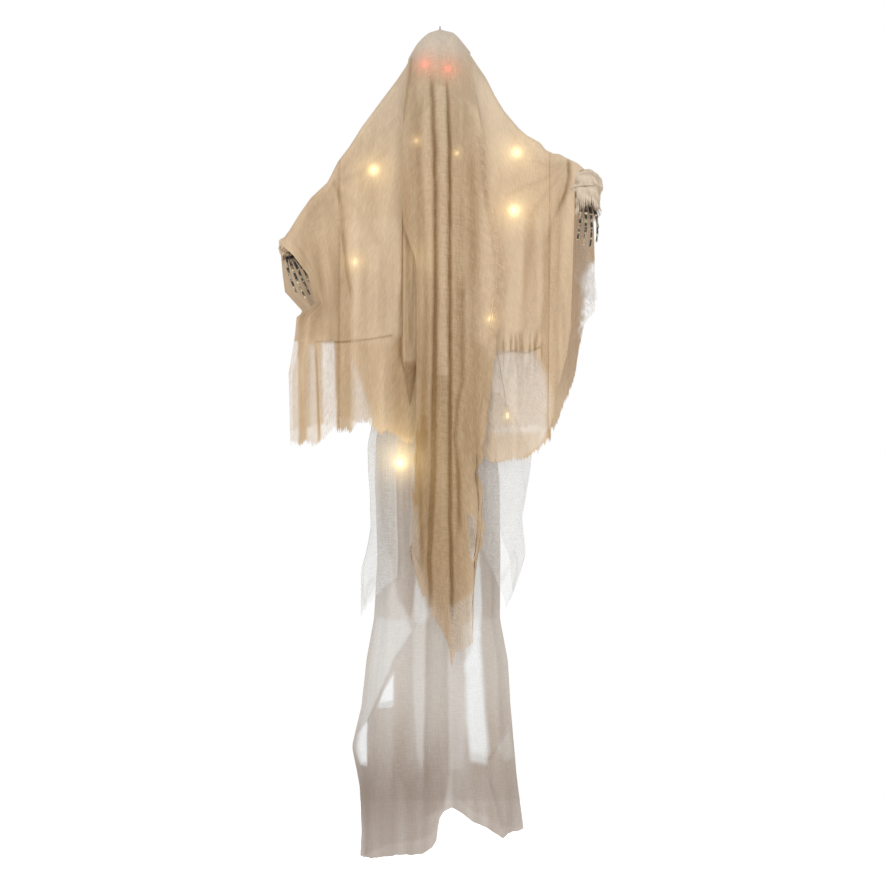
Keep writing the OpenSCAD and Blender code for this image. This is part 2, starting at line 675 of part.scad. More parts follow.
left_route = [[-case_w / 2 + overrun, case_mid, side_exit_z], [-40, 20, -440], [-56, 0, -405], [-60, -20,
  -360],
  [-58, -40, -318], [-62, -66, -289], [-90, -48, -300], [-130, -48, -345], [-170, -52, -374], [-190, -62,
    -430],
  [-205, -78, -520], [-216, -92, -612]];
right_route = [[case_w / 2 - overrun, case_mid, side_exit_z], [40, 20, -440], [48, 0, -410], [30, -34, -360],
  [30, -56, -318], [44, -74, -323], [90, -48, -312], [140, -42, -316], [196, -50, -330], [204, -62, -400],
    [190, -72, -480], [170, -80, -570],
  [148, -82, -660], [132, -76, -751], [146, -90, -840], [162, -84, -930], [172, -78, -1002]];
robe_route = [[low_exit_x, case_mid, case_low + overrun], [-20, 24, -470], [-24, 14, -560], [-40, 0, -700],
  [-60, -16, -850], [-84, -32, -1000],
  robe_lamp];

// Warm bulbs tied to the cloth along the strings
left_bulb_points = [[-62, -66, -289], [-170, -52, -374], [-216, -92, -612]];
right_bulb_points = [[44, -74, -323], [196, -50, -330], [190, -72, -480], [132, -76, -751], [172, -78,
  -1002]];
robe_bulb_points = [robe_lamp];
bulb_gap = 0.9;
tie_r = 0.6;
module bulb() {
  rotate([0, 180, 0]) {
    translate([0, 0, bulb_len * 0.1]) cylinder(r = bulb_r * 0.8, h = bulb_len * 0.4, $fn = small_fn);
    translate([0, 0, bulb_len * 0.45]) cylinder(r = bulb_r, h = bulb_len * 0.4, $fn = small_fn);
    translate([0, 0, bulb_len * 0.85]) sphere(r = bulb_r, $fn = small_fn);
  }
  translate([0, 0, -bulb_len / 2]) rotate([-90, 0, 0])
    cylinder(r = tie_r, h = bulb_r + bulb_gap - fit_gap / 2, $fn = small_fn);
}
module bulbs(places) {
  color("gold") for (p = places) translate(p + [0, -bulb_r - string_d / 2 - bulb_gap, bulb_len / 2]) bulb();
}
module eye_harness() { color("black") wire(eye_route); }
module left_light_string() { color("black") wire(left_route); }
module right_light_string() { color("black") wire(right_route); }
module robe_light_string() { color("black") wire(robe_route); }
module left_bulbs() { bulbs(left_bulb_points); }
module right_bulbs() { bulbs(right_bulb_points); }
module robe_bulbs() { bulbs(robe_bulb_points); }

// Cloth that hangs over the head and arms. w is the distance along the ridge line, seen from above, from
// the middle, negative to the left. d is the drop below the ridge. side is 1 in front and -1 behind.
function ease(t) = let(c = min(max(t, 0), 1)) c * c * (3 - 2 * c);
function flat_len(v) = norm([v.x, v.y]);
left_upper_w = flat_len(left_elbow - left_shoulder);
left_fore_w = flat_len(left_wrist - left_elbow);
right_upper_w = flat_len(right_elbow - right_shoulder);
right_fore_w = flat_len(right_wrist - right_elbow);
left_elbow_w = shoulder_x + left_upper_w;
right_elbow_w = shoulder_x + right_upper_w;
left_wrist_w = left_elbow_w + left_fore_w;
right_wrist_w = right_elbow_w + right_fore_w;
left_wrist_cover = 16;
right_wrist_bare = 16;
left_end_w = left_wrist_w + left_wrist_cover;
right_end_w = right_wrist_w - right_wrist_bare;
function flat_mix(a, b, t) = [a.x + (b.x - a.x) * t, a.y + (b.y - a.y) * t];
function on_path(w) =
  w < -left_elbow_w ? flat_mix(left_elbow, left_wrist, (-w - left_elbow_w) / left_fore_w)
  : w < -shoulder_x ? flat_mix(left_shoulder, left_elbow, (-w - shoulder_x) / left_upper_w)
  : w < shoulder_x ? [w, 0]
  : w < right_elbow_w ? flat_mix(right_shoulder, right_elbow, (w - shoulder_x) / right_upper_w)
  : flat_mix(right_elbow, right_wrist, (w - right_elbow_w) / right_fore_w);
corner_step = 16;
function plan(w) = (on_path(w - 2 * corner_step) + on_path(w - corner_step) + on_path(w) + on_path(w + corner_step)
  + on_path(w + 2 * corner_step)) / 5;
elbow_turn = 32;
function facing(w) = elbow_turn * ease((w - right_elbow_w + 2 * corner_step) / (6 * corner_step));

// Height of the ridge, as shares of the way along each part and of the drop there
left_cover = 37;
right_cover = 34;
crown_z = -eye_ring_r;
hem_ring_z = crown_z - veil_lift;
left_ridge_drop = hem_ring_z - left_elbow.z - left_cover;
right_ridge_drop = hem_ring_z - right_elbow.z - right_cover;
left_hood_shares = [[0, 0], [0.3, 0.024], [0.46, 0.059], [0.63, 0.109], [0.8, 0.19], [0.93, 0.259]];
left_upper_shares = [[0.1, 0.366], [0.315, 0.512], [0.635, 0.735], [0.82, 0.887], [1, 1]];
left_fore_shares = [[0.19, 0.243], [0.51, 0.497], [0.74, 0.713], [0.92, 0.928], [1.06, 1.06], [1.14, 1.1]];
right_hood_shares = [[0, 0], [0.36, 0.026], [0.5, 0.065], [0.65, 0.12], [0.85, 0.2], [1.01, 0.275]];
right_upper_shares = [[0.123, 0.389], [0.24, 0.543], [0.35, 0.623], [0.538, 0.765], [0.646, 0.815], [0.816,
  0.861],
  [0.892, 0.926], [1, 1]];
right_fore_shares = [[0.32, 0.319], [0.649, 0.5], [0.922, 0.707], [1.05, 0.98], [1.13, 1.38]];
function ridge_table(hood, upper, fore, upper_w, fore_w, drop, fore_drop) = concat(
  [for (s = hood) [s[0] * shoulder_x, hem_ring_z - s[1] * drop]],
  [for (s = upper) [shoulder_x + s[0] * upper_w, hem_ring_z - s[1] * drop]],
  [for (s = fore) [shoulder_x + upper_w + s[0] * fore_w, hem_ring_z - drop - s[1] * fore_drop]]);
left_ridge = ridge_table(left_hood_shares, left_upper_shares, left_fore_shares, left_upper_w, left_fore_w,
  left_ridge_drop, left_elbow.z - left_wrist.z);
right_ridge = ridge_table(right_hood_shares, right_upper_shares, right_fore_shares, right_upper_w,
  right_fore_w,
  right_ridge_drop, right_elbow.z - right_wrist.z);
function ridge_z(w) = lookup(abs(w), w < 0 ? left_ridge : right_ridge);

// Round of the cloth over its ridge, and how far it hangs from the ridge line lower down
nose_shares = [[0, 1.17], [0.42, 1.06], [0.74, 0.8], [0.95, 0.6], [1.2, 0.47], [1.65, 0.37], [2.2, 0.33],
  [2.9, 0.5],
  [3.4, 0.52], [4.2, 0.76], [4.6, 0.86], [5.2, 0.66]];
fall_shares = [[0, 1.44], [0.42, 1.43], [0.74, 1.4], [0.95, 1.36], [1.2, 1.28], [1.65, 1.14], [2.2, 0.97],
  [3, 0.83], [4, 0.9], [4.8, 0.96], [5.8, 0.9]];
function nose(w) = head_r * lookup(abs(w) / shoulder_x, nose_shares);
function fall_depth(w) = head_r * lookup(abs(w) / shoulder_x, fall_shares);
fall_reach = 420;
fold_reach = 300;
fold_pitch = 66;
function wave(w) = 0.6 * cos(360 * w / fold_pitch + 30) + 0.4 * cos(360 * w / (fold_pitch * 0.58) + 100);
function fold_at(w, d, side) = cape_fold * wave(w * (side > 0 ? 1 : 0.9)) * ease(d / fold_reach)
  * ease((abs(w) - shoulder_x * 0.85) / (shoulder_x * 0.6));

// Sideways drift of the sleeves' free edges, as shares of the full drop and of the drop
left_front_drift_shares = [[0.262, 0], [0.27, 0.006], [0.281, 0.019], [0.304, 0.038], [0.337, 0.049],
  [0.354, 0.024], [0.375, 0.022],
  [0.42, 0.014], [0.5, 0.016]];
left_back_drift_shares = [[0.279, 0], [0.3, 0.002], [0.321, 0.005], [0.343, 0.027], [0.356, 0.021], [0.372,
  0.025],
  [0.42, 0.0145], [0.5, 0.0145]];
right_drift_shares = [[0.3, 0], [0.5, -0.004]];
function drift_at(w, z, side) = total_drop * (w < 0
  ? lookup(-z / total_drop, side > 0 ? left_front_drift_shares : left_back_drift_shares)
    * max(0, (-w - left_elbow_w) / (left_end_w - left_elbow_w))
  : lookup(-z / total_drop, right_drift_shares)
    * max(0, (w - right_elbow_w) / (right_end_w - right_elbow_w)));
function drape(w, d, side, lift) =
  let(r = nose(w), a = acos(max(0, 1 - d / r)), z = ridge_z(w) - d, o = lift + fold_at(w, d, side),
    out = r * sin(a) + (fall_depth(w) - r) * ease(d / fall_reach) + o * sin(a), h = facing(w),
    p = plan(w), q = plan(w + overrun), way = (q - p) / norm(q - p), drift = drift_at(w, z, side))
  [p.x - side * out * sin(h) + way.x * drift, p.y - side * out * cos(h) + (side > 0 ? 0 : way.y * drift),
    z + o * cos(a)];

// A thin closed solid from two like grids of points, columns from left to right and rows from the front hem
// up over the ridge to the back hem. hole is the column and row of a cell left open for the rod.
function cell(a, b, c, d) = [[a, b, c], [a, c, d]];
module thin_solid(columns, rows, outer, inner, hole = [-1, -1]) {
  n = columns * rows;
  skin = [for (i = [0 : columns - 2]) for (j = [0 : rows - 2]) let(a = i * rows + j)
    if (!(i == hole[0] && j == hole[1])) each cell(a, a + 1, a + rows + 1, a + rows)];
  lining = [for (f = skin) [f[2] + n, f[1] + n, f[0] + n]];
  rim = concat([for (j = [0 : rows - 1]) j],
    [for (i = [1 : columns - 1]) i * rows + rows - 1],
    [for (j = [rows - 2 : -1 : 0]) (columns - 1) * rows + j],
    [for (i = [columns - 2 : -1 : 1]) i * rows]);
  edge = [for (k = [0 : len(rim) - 1]) let(a = rim[k], b = rim[(k + 1) % len(rim)])
    each cell(b, a, a + n, b + n)];
  h = hole[0] * rows + hole[1];
  ring = [h, h + 1, h + rows + 1, h + rows];
  well = hole[0] < 0 ? [] : [for (k = [0 : 3]) let(a = ring[k], b = ring[(k + 1) % 4])
    each cell(a, b, b + n, a + n)];
  polyhedron(concat(outer, inner), concat(skin, lining, edge, well));
}
// Drops below the ridge of one column's rows, from the ridge to the hem
arc_rows = 4;
crest_half = 4.5;
level_shares = [0.26, 0.4, 0.57, 0.78, 1];
function drops(r, total, rows) = let(first = asin(crest_half / r), reach = min(fall_reach,
  total * 0.8)) concat(
  [for (k = [0 : arc_rows - 1]) r * (1 - cos(first + (90 - first) * k / (arc_rows - 1)))],
  [for (s = level_shares) s * reach],
  [for (k = [1 : rows]) reach + (total - reach) * k / rows]);
row_count = arc_rows + len(level_shares);
cape_rows = 2;
sleeve_rows = 2;
function over(w, front_hem, back_hem, lift, rows) =
  let(f = drops(nose(w), ridge_z(w) - front_hem, rows), b = drops(nose(w), ridge_z(w) - back_hem, rows),
    n = len(f))
  concat([for (k = [n - 1 : -1 : 0]) drape(w, f[k], 1, lift)], [for (k = [0 : n - 1]) drape(w, b[k], -1,
    lift)]);
module draped(stations, rows, tuck) {
  outer = [for (s = stations) each over(s[0], s[1], s[2], tuck(s[0]), rows)];
  inner = [for (s = stations) each over(s[0], s[1], s[2], tuck(s[0]) - cloth_t, rows)];
  thin_solid(len(stations), 2 * (row_count + rows), outer, inner);
}
function steps(from, to, count) = [for (k = [0 : count - 1]) from + (to - from) * k / (count - 1)];

// Hems, as shares of the way along the ridge from the middle to the elbow or beyond, and of the full drop
left_hem_shares = [[0, -0.505], [0.35, -0.5], [0.6, -0.488], [0.75, -0.472], [0.86, -0.4895], [1, -0.4895]];
left_back_hem_shares = [[0, -0.48], [0.5, -0.475], [1, -0.475]];
left_sleeve_hem_shares = [[0.8, -0.4895], [1, -0.4895], [1.08, -0.491], [1.26, -0.505], [1.45, -0.503],
  [1.7, -0.5]];
left_sleeve_back_shares = [[0.8, -0.475], [1, -0.475], [1.7, -0.495]];
right_hem_shares = [[0, -0.526], [0.45, -0.525], [0.7, -0.523], [0.87, -0.512], [0.93, -0.5], [1, -0.499]];
right_back_hem_shares = [[0, -0.49], [0.8, -0.485], [1, -0.485]];
right_sleeve_hem_shares = [[0.93, -0.5], [1, -0.499], [1.22, -0.478], [1.45, -0.425], [1.55, -0.4], [1.66,
  -0.36]];
right_sleeve_back_shares = [[0.8, -0.485], [1, -0.485], [1.1, -0.45], [1.22, -0.42], [1.3, -0.388], [1.45,
  -0.36],
  [1.66, -0.343]];
function hem(w, elbow_w, shares) = total_drop * lookup(abs(w) / elbow_w, shares);
cape_columns = 18;
sleeve_columns = 8;
middle_gap = 5.4;
under_lap = 8;
left_under_lap = 1.8;
left_pitch = (left_elbow_w - middle_gap) / (cape_columns - 1);
right_pitch = (right_elbow_w - middle_gap) / (cape_columns - 1);
function left_sleeve_tuck(w) = w > -left_elbow_w - left_pitch / 2 ? -left_under_lap : 0;
function right_sleeve_tuck(w) = w < right_elbow_w + right_pitch / 2 ? -under_lap : 0;
module left_cape() {
  color("wheat") draped([for (w = steps(-left_elbow_w, -middle_gap, cape_columns))
    [w, hem(w, left_elbow_w, left_hem_shares), hem(w, left_elbow_w, left_back_hem_shares)]],
    cape_rows, function(w) 0);
}
module right_cape() {
  color("wheat") draped([for (w = steps(middle_gap, right_elbow_w, cape_columns))
    [w, hem(w, right_elbow_w, right_hem_shares), hem(w, right_elbow_w, right_back_hem_shares)]],
    cape_rows, function(w) 0);
}
module left_sleeve() {
  color("tan") draped([for (w = concat(steps(-left_end_w, -left_elbow_w - left_pitch, sleeve_columns),
      [-left_elbow_w, -left_elbow_w + left_pitch]))
    [w, hem(w, left_elbow_w, left_sleeve_hem_shares), hem(w, left_elbow_w, left_sleeve_back_shares)]],
    sleeve_rows, function(w) left_sleeve_tuck(w));
}
module right_sleeve() {
  color("tan") draped([for (w = concat([right_elbow_w - right_pitch, right_elbow_w],
      steps(right_elbow_w + right_pitch, right_end_w, sleeve_columns)))
    [w, hem(w, right_elbow_w, right_sleeve_hem_shares), hem(w, right_elbow_w, right_sleeve_back_shares)]],
    sleeve_rows, function(w) right_sleeve_tuck(w));
}

// Veil: over the head, down the front to a point and down the back
veil_columns_shares = [-1, -0.84, -0.66, -0.46, -0.26, -0.055, 0.055, 0.2, 0.36, 0.5, 0.64, 0.78, 0.9, 1];
veil_crest_shares = [0.15, 0.5, 0.2, 0.8, 0.2, 0.9, 0.25, 1, 0.1, 0.95, 0.3, 1.15, 1, 1.05];
veil_hem_shares = [-0.64, -0.66, -0.675, -0.69, -0.706, -0.728, -0.752, -0.78, -0.775, -0.748, -0.744,
  -0.7, -0.66, -0.628];
veil_back_shares = [-0.6, -0.61, -0.62, -0.64, -0.66, -0.68, -0.7, -0.69, -0.67, -0.66, -0.65, -0.63,
  -0.61, -0.6];
veil_left_shares = [[0.002, 0.036], [0.033, 0.037], [0.087, 0.044], [0.24, 0.0445], [0.285, 0.028], [0.486,
  0.028],
  [0.592, 0.036], [0.635, 0.039], [0.663, 0.029], [0.8, 0.026]];
veil_right_shares = [[0.002, 0.036], [0.06, 0.037], [0.142, 0.053], [0.194, 0.059], [0.254, 0.072], [0.292,
  0.079],
  [0.53, 0.048], [0.574, 0.055], [0.607, 0.06], [0.64, 0.048], [0.8, 0.04]];
function veil_edge(z, u) = u * total_drop * lookup(-z / total_drop,
  u < 0 ? veil_left_shares : veil_right_shares);
function veil_point(u, z, side, crest, thin) =
  let(x = veil_edge(z, u), top = ridge_z(x), d = max(top - z, 0), r = nose(x), a = acos(max(0, 1 - d / r)),
    o = veil_lift - thin + veil_fold * crest * ease(d / fold_reach) * (side > 0 ? 1 : 0.6),
    out = r * sin(a) + (fall_depth(x) - r) * ease(d / fall_reach) + o * sin(a))
  [x, plan(x).y - side * out, top - d + o * cos(a)];
veil_rows = 6;
function veil_column(k, thin) =
  let(u = veil_columns_shares[k], x = veil_edge(hem_ring_z, u), top = ridge_z(x),
    f = drops(nose(x), top - total_drop * veil_hem_shares[k], veil_rows),
    b = drops(nose(x), top - total_drop * veil_back_shares[k], veil_rows), n = len(f))
  concat([for (i = [n - 1 : -1 : 0]) veil_point(u, top - f[i], 1, veil_crest_shares[k], thin)],
    [for (i = [0 : n - 1]) veil_point(u, top - b[i], -1, veil_crest_shares[k], thin)]);
module veil() {
  columns = len(veil_columns_shares);
  color("bisque") thin_solid(columns, 2 * (row_count + veil_rows), [for (k = [0 : columns - 1])
    each veil_column(k, 0)],
    [for (k = [0 : columns - 1]) each veil_column(k, cloth_t)], [5, row_count + veil_rows - 1]);
}

// Robe: a folded tube of sheer cloth from the hoop down
robe_columns = 32;
robe_rows = 12;
robe_folds = 8;
robe_left_shares = [[0, 0.3556], [0.2, 0.49], [0.41, 0.73], [0.463, 0.74], [0.57, 0.71], [0.66, 0.75],
  [0.72, 0.84],
  [0.786, 0.893], [0.843, 1], [0.9, 0.907], [0.963, 0.885], [1, 0.9]];
robe_right_shares = [[0, 0.3556], [0.2, 0.53], [0.41, 0.62], [0.463, 0.667], [0.57, 0.68], [0.66, 0.676],
  [0.72, 0.77],
  [0.786, 0.805], [0.843, 0.85], [0.9, 0.893], [0.963, 0.951], [1, 0.96]];
robe_deep_shares = [[0, 0.3556], [0.2, 0.37], [0.41, 0.375], [0.5, 0.4], [0.66, 0.42], [0.8, 0.45], [1,
  0.55]];
robe_clear = 0.9;
robe_hem_shares = [[-1, 1], [-0.56, 0.997], [-0.24, 0.996], [-0.03, 0.986], [-0.01, 0.955], [0.05, 0.94],
  [0.17, 0.933],
  [0.28, 0.942], [0.42, 0.954], [0.6, 0.966], [0.71, 0.975], [0.83, 0.97], [1, 0.965]];
robe_top = hoop_z;
robe_fall = total_drop + robe_top;
function robe_share(z) = (robe_top - z) / robe_fall;
function robe_round(a, z, f, flare = 0) = let(s = robe_share(z), side = sin(a))
  [(robe_half * lookup(s, side < 0 ? robe_left_shares : robe_right_shares) + f + flare) * side,
    -(robe_half * lookup(s, robe_deep_shares) + f) * cos(a), z];
function robe_point(a, z, lift) =
  robe_round(a, z, lift - robe_fold * ease(robe_share(z) / 0.3) * (1 - cos(robe_folds * a)) / 2);
function robe_hem_z(a) = -total_drop * lookup(sin(a), robe_hem_shares);
function robe_column(k, thin) = let(a = 360 * k / robe_columns, low = robe_hem_z(a))
  [for (j = [0 : robe_rows - 1]) robe_point(a, robe_top + (low - robe_top) * pow(j / (robe_rows - 1), 0.9),
    hoop_wire_r + thin)];
module robe() {
  n = robe_columns * robe_rows;
  m = robe_rows;
  outer = [for (k = [0 : robe_columns - 1]) each robe_column(k, robe_clear + cloth_t)];
  inner = [for (k = [0 : robe_columns - 1]) each robe_column(k, robe_clear)];
  skin = [for (k = [0 : robe_columns - 1]) for (j = [0 : m - 2]) let(a = k * m + j,
    b = (k + 1) % robe_columns * m + j)
    each cell(a, b, b + 1, a + 1)];
  lining = [for (f = skin) [f[2] + n, f[1] + n, f[0] + n]];
  rims = [for (k = [0 : robe_columns - 1]) let(a = k * m, b = (k + 1) % robe_columns * m) each concat(
    cell(a, a + n, b + n, b), cell(b + m - 1, b + m - 1 + n, a + m - 1 + n, a + m - 1))];
  color("gainsboro") polyhedron(concat(outer, inner), concat(skin, lining, rims));
}

// Tattered side panels of sheer cloth over the robe
flap_columns = 6;
flap_rows = 8;
left_flap_flare_shares = [[0, 0], [0.25, 0.05], [0.45, 0.02], [0.62, 0.02], [0.8, 0.14], [1, 0.1]];
right_flap_flare_shares = [[0, 0.1], [0.3, 0.38], [0.45, 0.3], [0.62, 0.22], [0.8, 0.26], [1, 0.1]];
left_flap_hem_shares = [0.66, 0.69, 0.712, 0.7, 0.68, 0.66];
right_flap_hem_shares = [0.6, 0.65, 0.7, 0.68, 0.64, 0.6];
left_flap_span = [238, 322];
right_flap_span = [30, 116];
flap_top_share = 0.44;
flap_lift_share = 0.8667;
flap_lift = robe_fold * flap_lift_share;
left_flap_seat_share = 0.4692;
right_flap_seat_share = 0.1615;
function flap_off(s, seat) = seat + (flap_lift - seat) * ease(s * (flap_rows - 1));
function flap_column(k, span, hems, flare, seat, thin) =
  let(a = span[0] + (span[1] - span[0]) * k / (flap_columns - 1), t = k / (flap_columns - 1),
    low = -total_drop * hems[k],
    top = -total_drop * flap_top_share)
  [for (j = [0 : flap_rows - 1]) let(s = 1 - j / (flap_rows - 1))
    robe_round(a, top + (low - top) * s, flap_off(s, seat) + thin, robe_half * lookup(s,
      flare) * sin(180 * t))];
module flap(span, hems, flare, seat) {
  thin_solid(flap_columns, flap_rows, [for (k = [0 : flap_columns - 1])
    each flap_column(k, span, hems, flare, seat, cloth_t)],
    [for (k = [0 : flap_columns - 1]) each flap_column(k, span, hems, flare, seat, 0)]);
}
module left_flap() { color("whitesmoke") flap(left_flap_span, left_flap_hem_shares, left_flap_flare_shares,
  flap_lift * left_flap_seat_share); }
module right_flap() { color("whitesmoke") flap(right_flap_span, right_flap_hem_shares,
  right_flap_flare_shares,
  flap_lift * right_flap_seat_share); }

// Narrow torn strip beside the veil, and the sheer lining that shows below the right hand
strip_columns = 3;
strip_rows = 8;
strip_span_shares = [-1.03, -0.8, -0.62];
strip_top_share = 0.225;
strip_lift = 1.8;
strip_hem_shares = [0.404, 0.46, 0.407];
module torn_strip() {
  function column(k, lift) = let(w = strip_span_shares[k] * shoulder_x,
    top = ridge_z(w) + total_drop * strip_top_share,
      low = ridge_z(w) + total_drop * strip_hem_shares[k])
    [for (j = [0 : strip_rows - 1]) drape(w, low + (top - low) * j / (strip_rows - 1), 1, lift)];
  color("burlywood") thin_solid(strip_columns, strip_rows,
    [for (k = [0 : strip_columns - 1]) each column(k, strip_lift + cloth_t)],
    [for (k = [0 : strip_columns - 1]) each column(k, strip_lift)]);
}
lining_columns = 4;
lining_rows = 6;
lining_reach_share = 0.4;
lining_top_share = 0.04;
lining_hem_shares = [0.14, 0.155, 0.16, 0.15];
lining_tuck = 35.9;
lining_seat = 4.1;
module right_lining() {
  function column(k,
    thin) = let(w = right_end_w - right_fore_w * lining_reach_share * (1 - k / (lining_columns - 1)))
    [for (j = [0 : lining_rows - 1]) let(s = j / (lining_rows - 1),
        d = total_drop * (lining_top_share + (lining_hem_shares[k] - lining_top_share) * s),
        out = nose(w) + (fall_depth(w) - nose(w)) * ease(d / fall_reach) - lining_seat
          - lining_tuck * ease(2 * s) - thin,
        p = plan(w), h = facing(w))
      [p.x + out * sin(h), p.y + out * cos(h), ridge_z(w) - d]];
  color("white") thin_solid(lining_columns, lining_rows, [for (k = [0 : lining_columns - 1])
    each column(k, 0)],
    [for (k = [0 : lining_columns - 1]) each column(k, cloth_t)]);
}

// Frayed cuffs gathered round the palms
cuff_columns = 12;
cuff_rows = 4;
cuff_start = ear_reach + web_t / 2;
left_cuff_size_shares = [0.44, 0.32, 0.42];
right_cuff_size_shares = [0.54, 0.44, 1.04];
left_cuff_swell_shares = [[0, 0.5], [0.4, 0.95], [0.8, 0.94], [1, 1.04]];
right_cuff_swell_shares = [[0, 0.455], [0.4, 1], [0.8, 0.96], [1, 1.05]];
cuff_fold = 2;
module cuff(twist, sizes, swell) {
  function ring(k, thin) = let(a = 360 * k / cuff_columns)
    [for (j = [0 : cuff_rows - 1]) let(s = j / (cuff_rows - 1), f = cuff_fold * (k % 2 == 0 ? 1 : -1) - thin,
        g = lookup(s, swell))
      [cuff_start + (palm_len * sizes[2] - cuff_start) * s, (palm_w * sizes[0] * g + f) * cos(a),
        (palm_w * sizes[1] * g + f) * sin(a)]];
  n = cuff_columns * cuff_rows;
  m = cuff_rows;
  outer = [for (k = [0 : cuff_columns - 1]) each ring(k, 0)];
  inner = [for (k = [0 : cuff_columns - 1]) each ring(k, cloth_t)];
  skin = [for (k = [0 : cuff_columns - 1]) for (j = [0 : m - 2]) let(a = k * m + j,
    b = (k + 1) % cuff_columns * m + j)
    each cell(a, a + 1, b + 1, b)];
  lining = [for (f = skin) [f[2] + n, f[1] + n, f[0] + n]];
  rims = [for (k = [0 : cuff_columns - 1]) let(a = k * m, b = (k + 1) % cuff_columns * m) each concat(
    cell(a, b, b + n, a + n), cell(b + m - 1, a + m - 1, a + m - 1 + n, b + m - 1 + n))];
  rotate([twist, 0, 0]) polyhedron(concat(outer, inner), concat(skin, lining, rims));
}
module left_cuff() { color("wheat") left_at("hand") cuff(left_twist, left_cuff_size_shares,
  left_cuff_swell_shares); }
module right_cuff() { color("wheat") right_at("hand") cuff(right_twist, right_cuff_size_shares,
  right_cuff_swell_shares); }

hanging_eye();
crown_washer();
head_front();
head_rear();
head_screws();
eye_bezels();
eye_lamps();
neck_plug();
neck_nut();
shoulder_block();
spine_tube();
left_yoke();
right_yoke();
yoke_screws();
left_shoulder_bolt();
right_shoulder_bolt();
left_upper_arm();
right_upper_arm();
left_elbow_bolt();
right_elbow_bolt();
left_forearm();
right_forearm();
left_wrist_bolt();
right_wrist_bolt();
left_hand();
right_hand();
left_cuff();
right_cuff();
hoop_hub();
robe_hoop();
battery_case();
battery_door();
door_screw();
battery_cells();
battery_contacts();
circuit_board();
switch_knob();
eye_harness();
left_light_string();
right_light_string();
robe_light_string();
left_bulbs();
right_bulbs();
robe_bulbs();
robe();
left_flap();
right_flap();
left_cape();
right_cape();
left_sleeve();
right_sleeve();
right_lining();
veil();
torn_strip();
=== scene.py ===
# Hanging light-up ghost: tea-dyed gauze, skeleton hands, lights and a plain studio over the imported model.
# Numbers in the dictionaries are millimetres and degrees, and those of the studio are metres.
import bpy
import numpy as np
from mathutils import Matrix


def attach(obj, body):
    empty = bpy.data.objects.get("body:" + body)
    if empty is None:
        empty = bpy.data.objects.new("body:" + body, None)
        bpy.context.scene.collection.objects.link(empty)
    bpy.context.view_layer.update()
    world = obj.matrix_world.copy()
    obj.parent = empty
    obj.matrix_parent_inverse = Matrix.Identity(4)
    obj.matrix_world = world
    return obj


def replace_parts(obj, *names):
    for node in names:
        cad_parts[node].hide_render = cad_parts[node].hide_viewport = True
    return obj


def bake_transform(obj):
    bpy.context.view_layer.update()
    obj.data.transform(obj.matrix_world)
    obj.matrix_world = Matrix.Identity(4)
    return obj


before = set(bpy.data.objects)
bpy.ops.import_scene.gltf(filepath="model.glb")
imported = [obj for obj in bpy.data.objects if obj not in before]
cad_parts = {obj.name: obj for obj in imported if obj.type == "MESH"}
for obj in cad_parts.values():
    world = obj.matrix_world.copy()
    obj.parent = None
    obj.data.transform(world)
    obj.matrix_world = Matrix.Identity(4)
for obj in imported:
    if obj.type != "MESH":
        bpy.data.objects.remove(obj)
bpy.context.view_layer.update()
mm = 0.001
print("frame loaded")


def ease(t):
    # smooth step: 3t^2 - 2t^3, held at 0 and 1
    t = np.clip(t, 0, 1)
    return t * t * (3 - 2 * t)


def look(table, x, soften=0):
    # straight lines through the table's points, averaged over a short span so that no corner shows
    t = np.array(table, float)
    return sum(np.interp(x + soften * s, t[:, 0], t[:, 1]) for s in (-1, -0.5, 0, 0.5, 1)) / 5


dice = np.random.default_rng(11).random((97, 89)) * 2 - 1


def noise(x, y, seed=0):
    # value noise: random heights at whole numbers, joined by smooth steps, from -1 to 1
    x, y = np.broadcast_arrays(x, y)
    columns, rows = dice.shape
    xi, yi = np.floor(x).astype(int), np.floor(y).astype(int)
    fx, fy = ease(x - xi), ease(y - yi)
    a, b = (xi + 31 * seed) % columns, (yi + 17 * seed) % rows
    c, d = (a + 1) % columns, (b + 1) % rows
    low = dice[a, b] * (1 - fx) + dice[c, b] * fx
    high = dice[a, d] * (1 - fx) + dice[c, d] * fx
    return low * (1 - fy) + high * fy


def turned(about, angle):
    # rotation matrix about x, y or z
    c, s = np.cos(np.radians(angle)), np.sin(np.radians(angle))
    return np.array({"x": [[1, 0, 0], [0, c, -s], [0, s, c]], "y": [[c, 0, s], [0, 1, 0], [-s, 0, c]],
                     "z": [[c, -s, 0], [s, c, 0], [0, 0, 1]]}[about])


def linear(hexColour):
    # sRGB hex to linear: ((c + 0.055) / 1.055) ^ 2.4, or c / 12.92 near black
    c = np.array([int(hexColour[i:i + 2], 16) for i in (1, 3, 5)]) / 255
    return (*np.where(c > 0.04045, ((c + 0.055) / 1.055) ** 2.4, c / 12.92), 1)


def show(name, data):
    # a new object in the scene that carries the data
    piece = bpy.data.objects.new(name, data)
    bpy.context.scene.collection.objects.link(piece)
    return piece


def newMaterial(name):
    # a material whose nodes are still to be added
    material = bpy.data.materials.new(name)
    material.use_nodes = True
    material.node_tree.nodes.clear()
    return material


def add(material, kind, settings=None, out=0, **links):
    # adds one node: settings are its properties or input values, and links are input names, or i and a
    # number, to sockets; gives back the output called out
    n = material.node_tree.nodes.new("ShaderNode" + kind)
    for key, value in (settings or {}).items():
        if isinstance(key, int) or key in n.inputs:
            n.inputs[key].default_value = value
        else:
            setattr(n, key, value)
    for key, socket in links.items():
        place = int(key[1:]) if key[1:].isdigit() else key.replace("_", " ")
        material.node_tree.links.new(socket, n.inputs[place])
    return n.outputs[out] if n.outputs else n
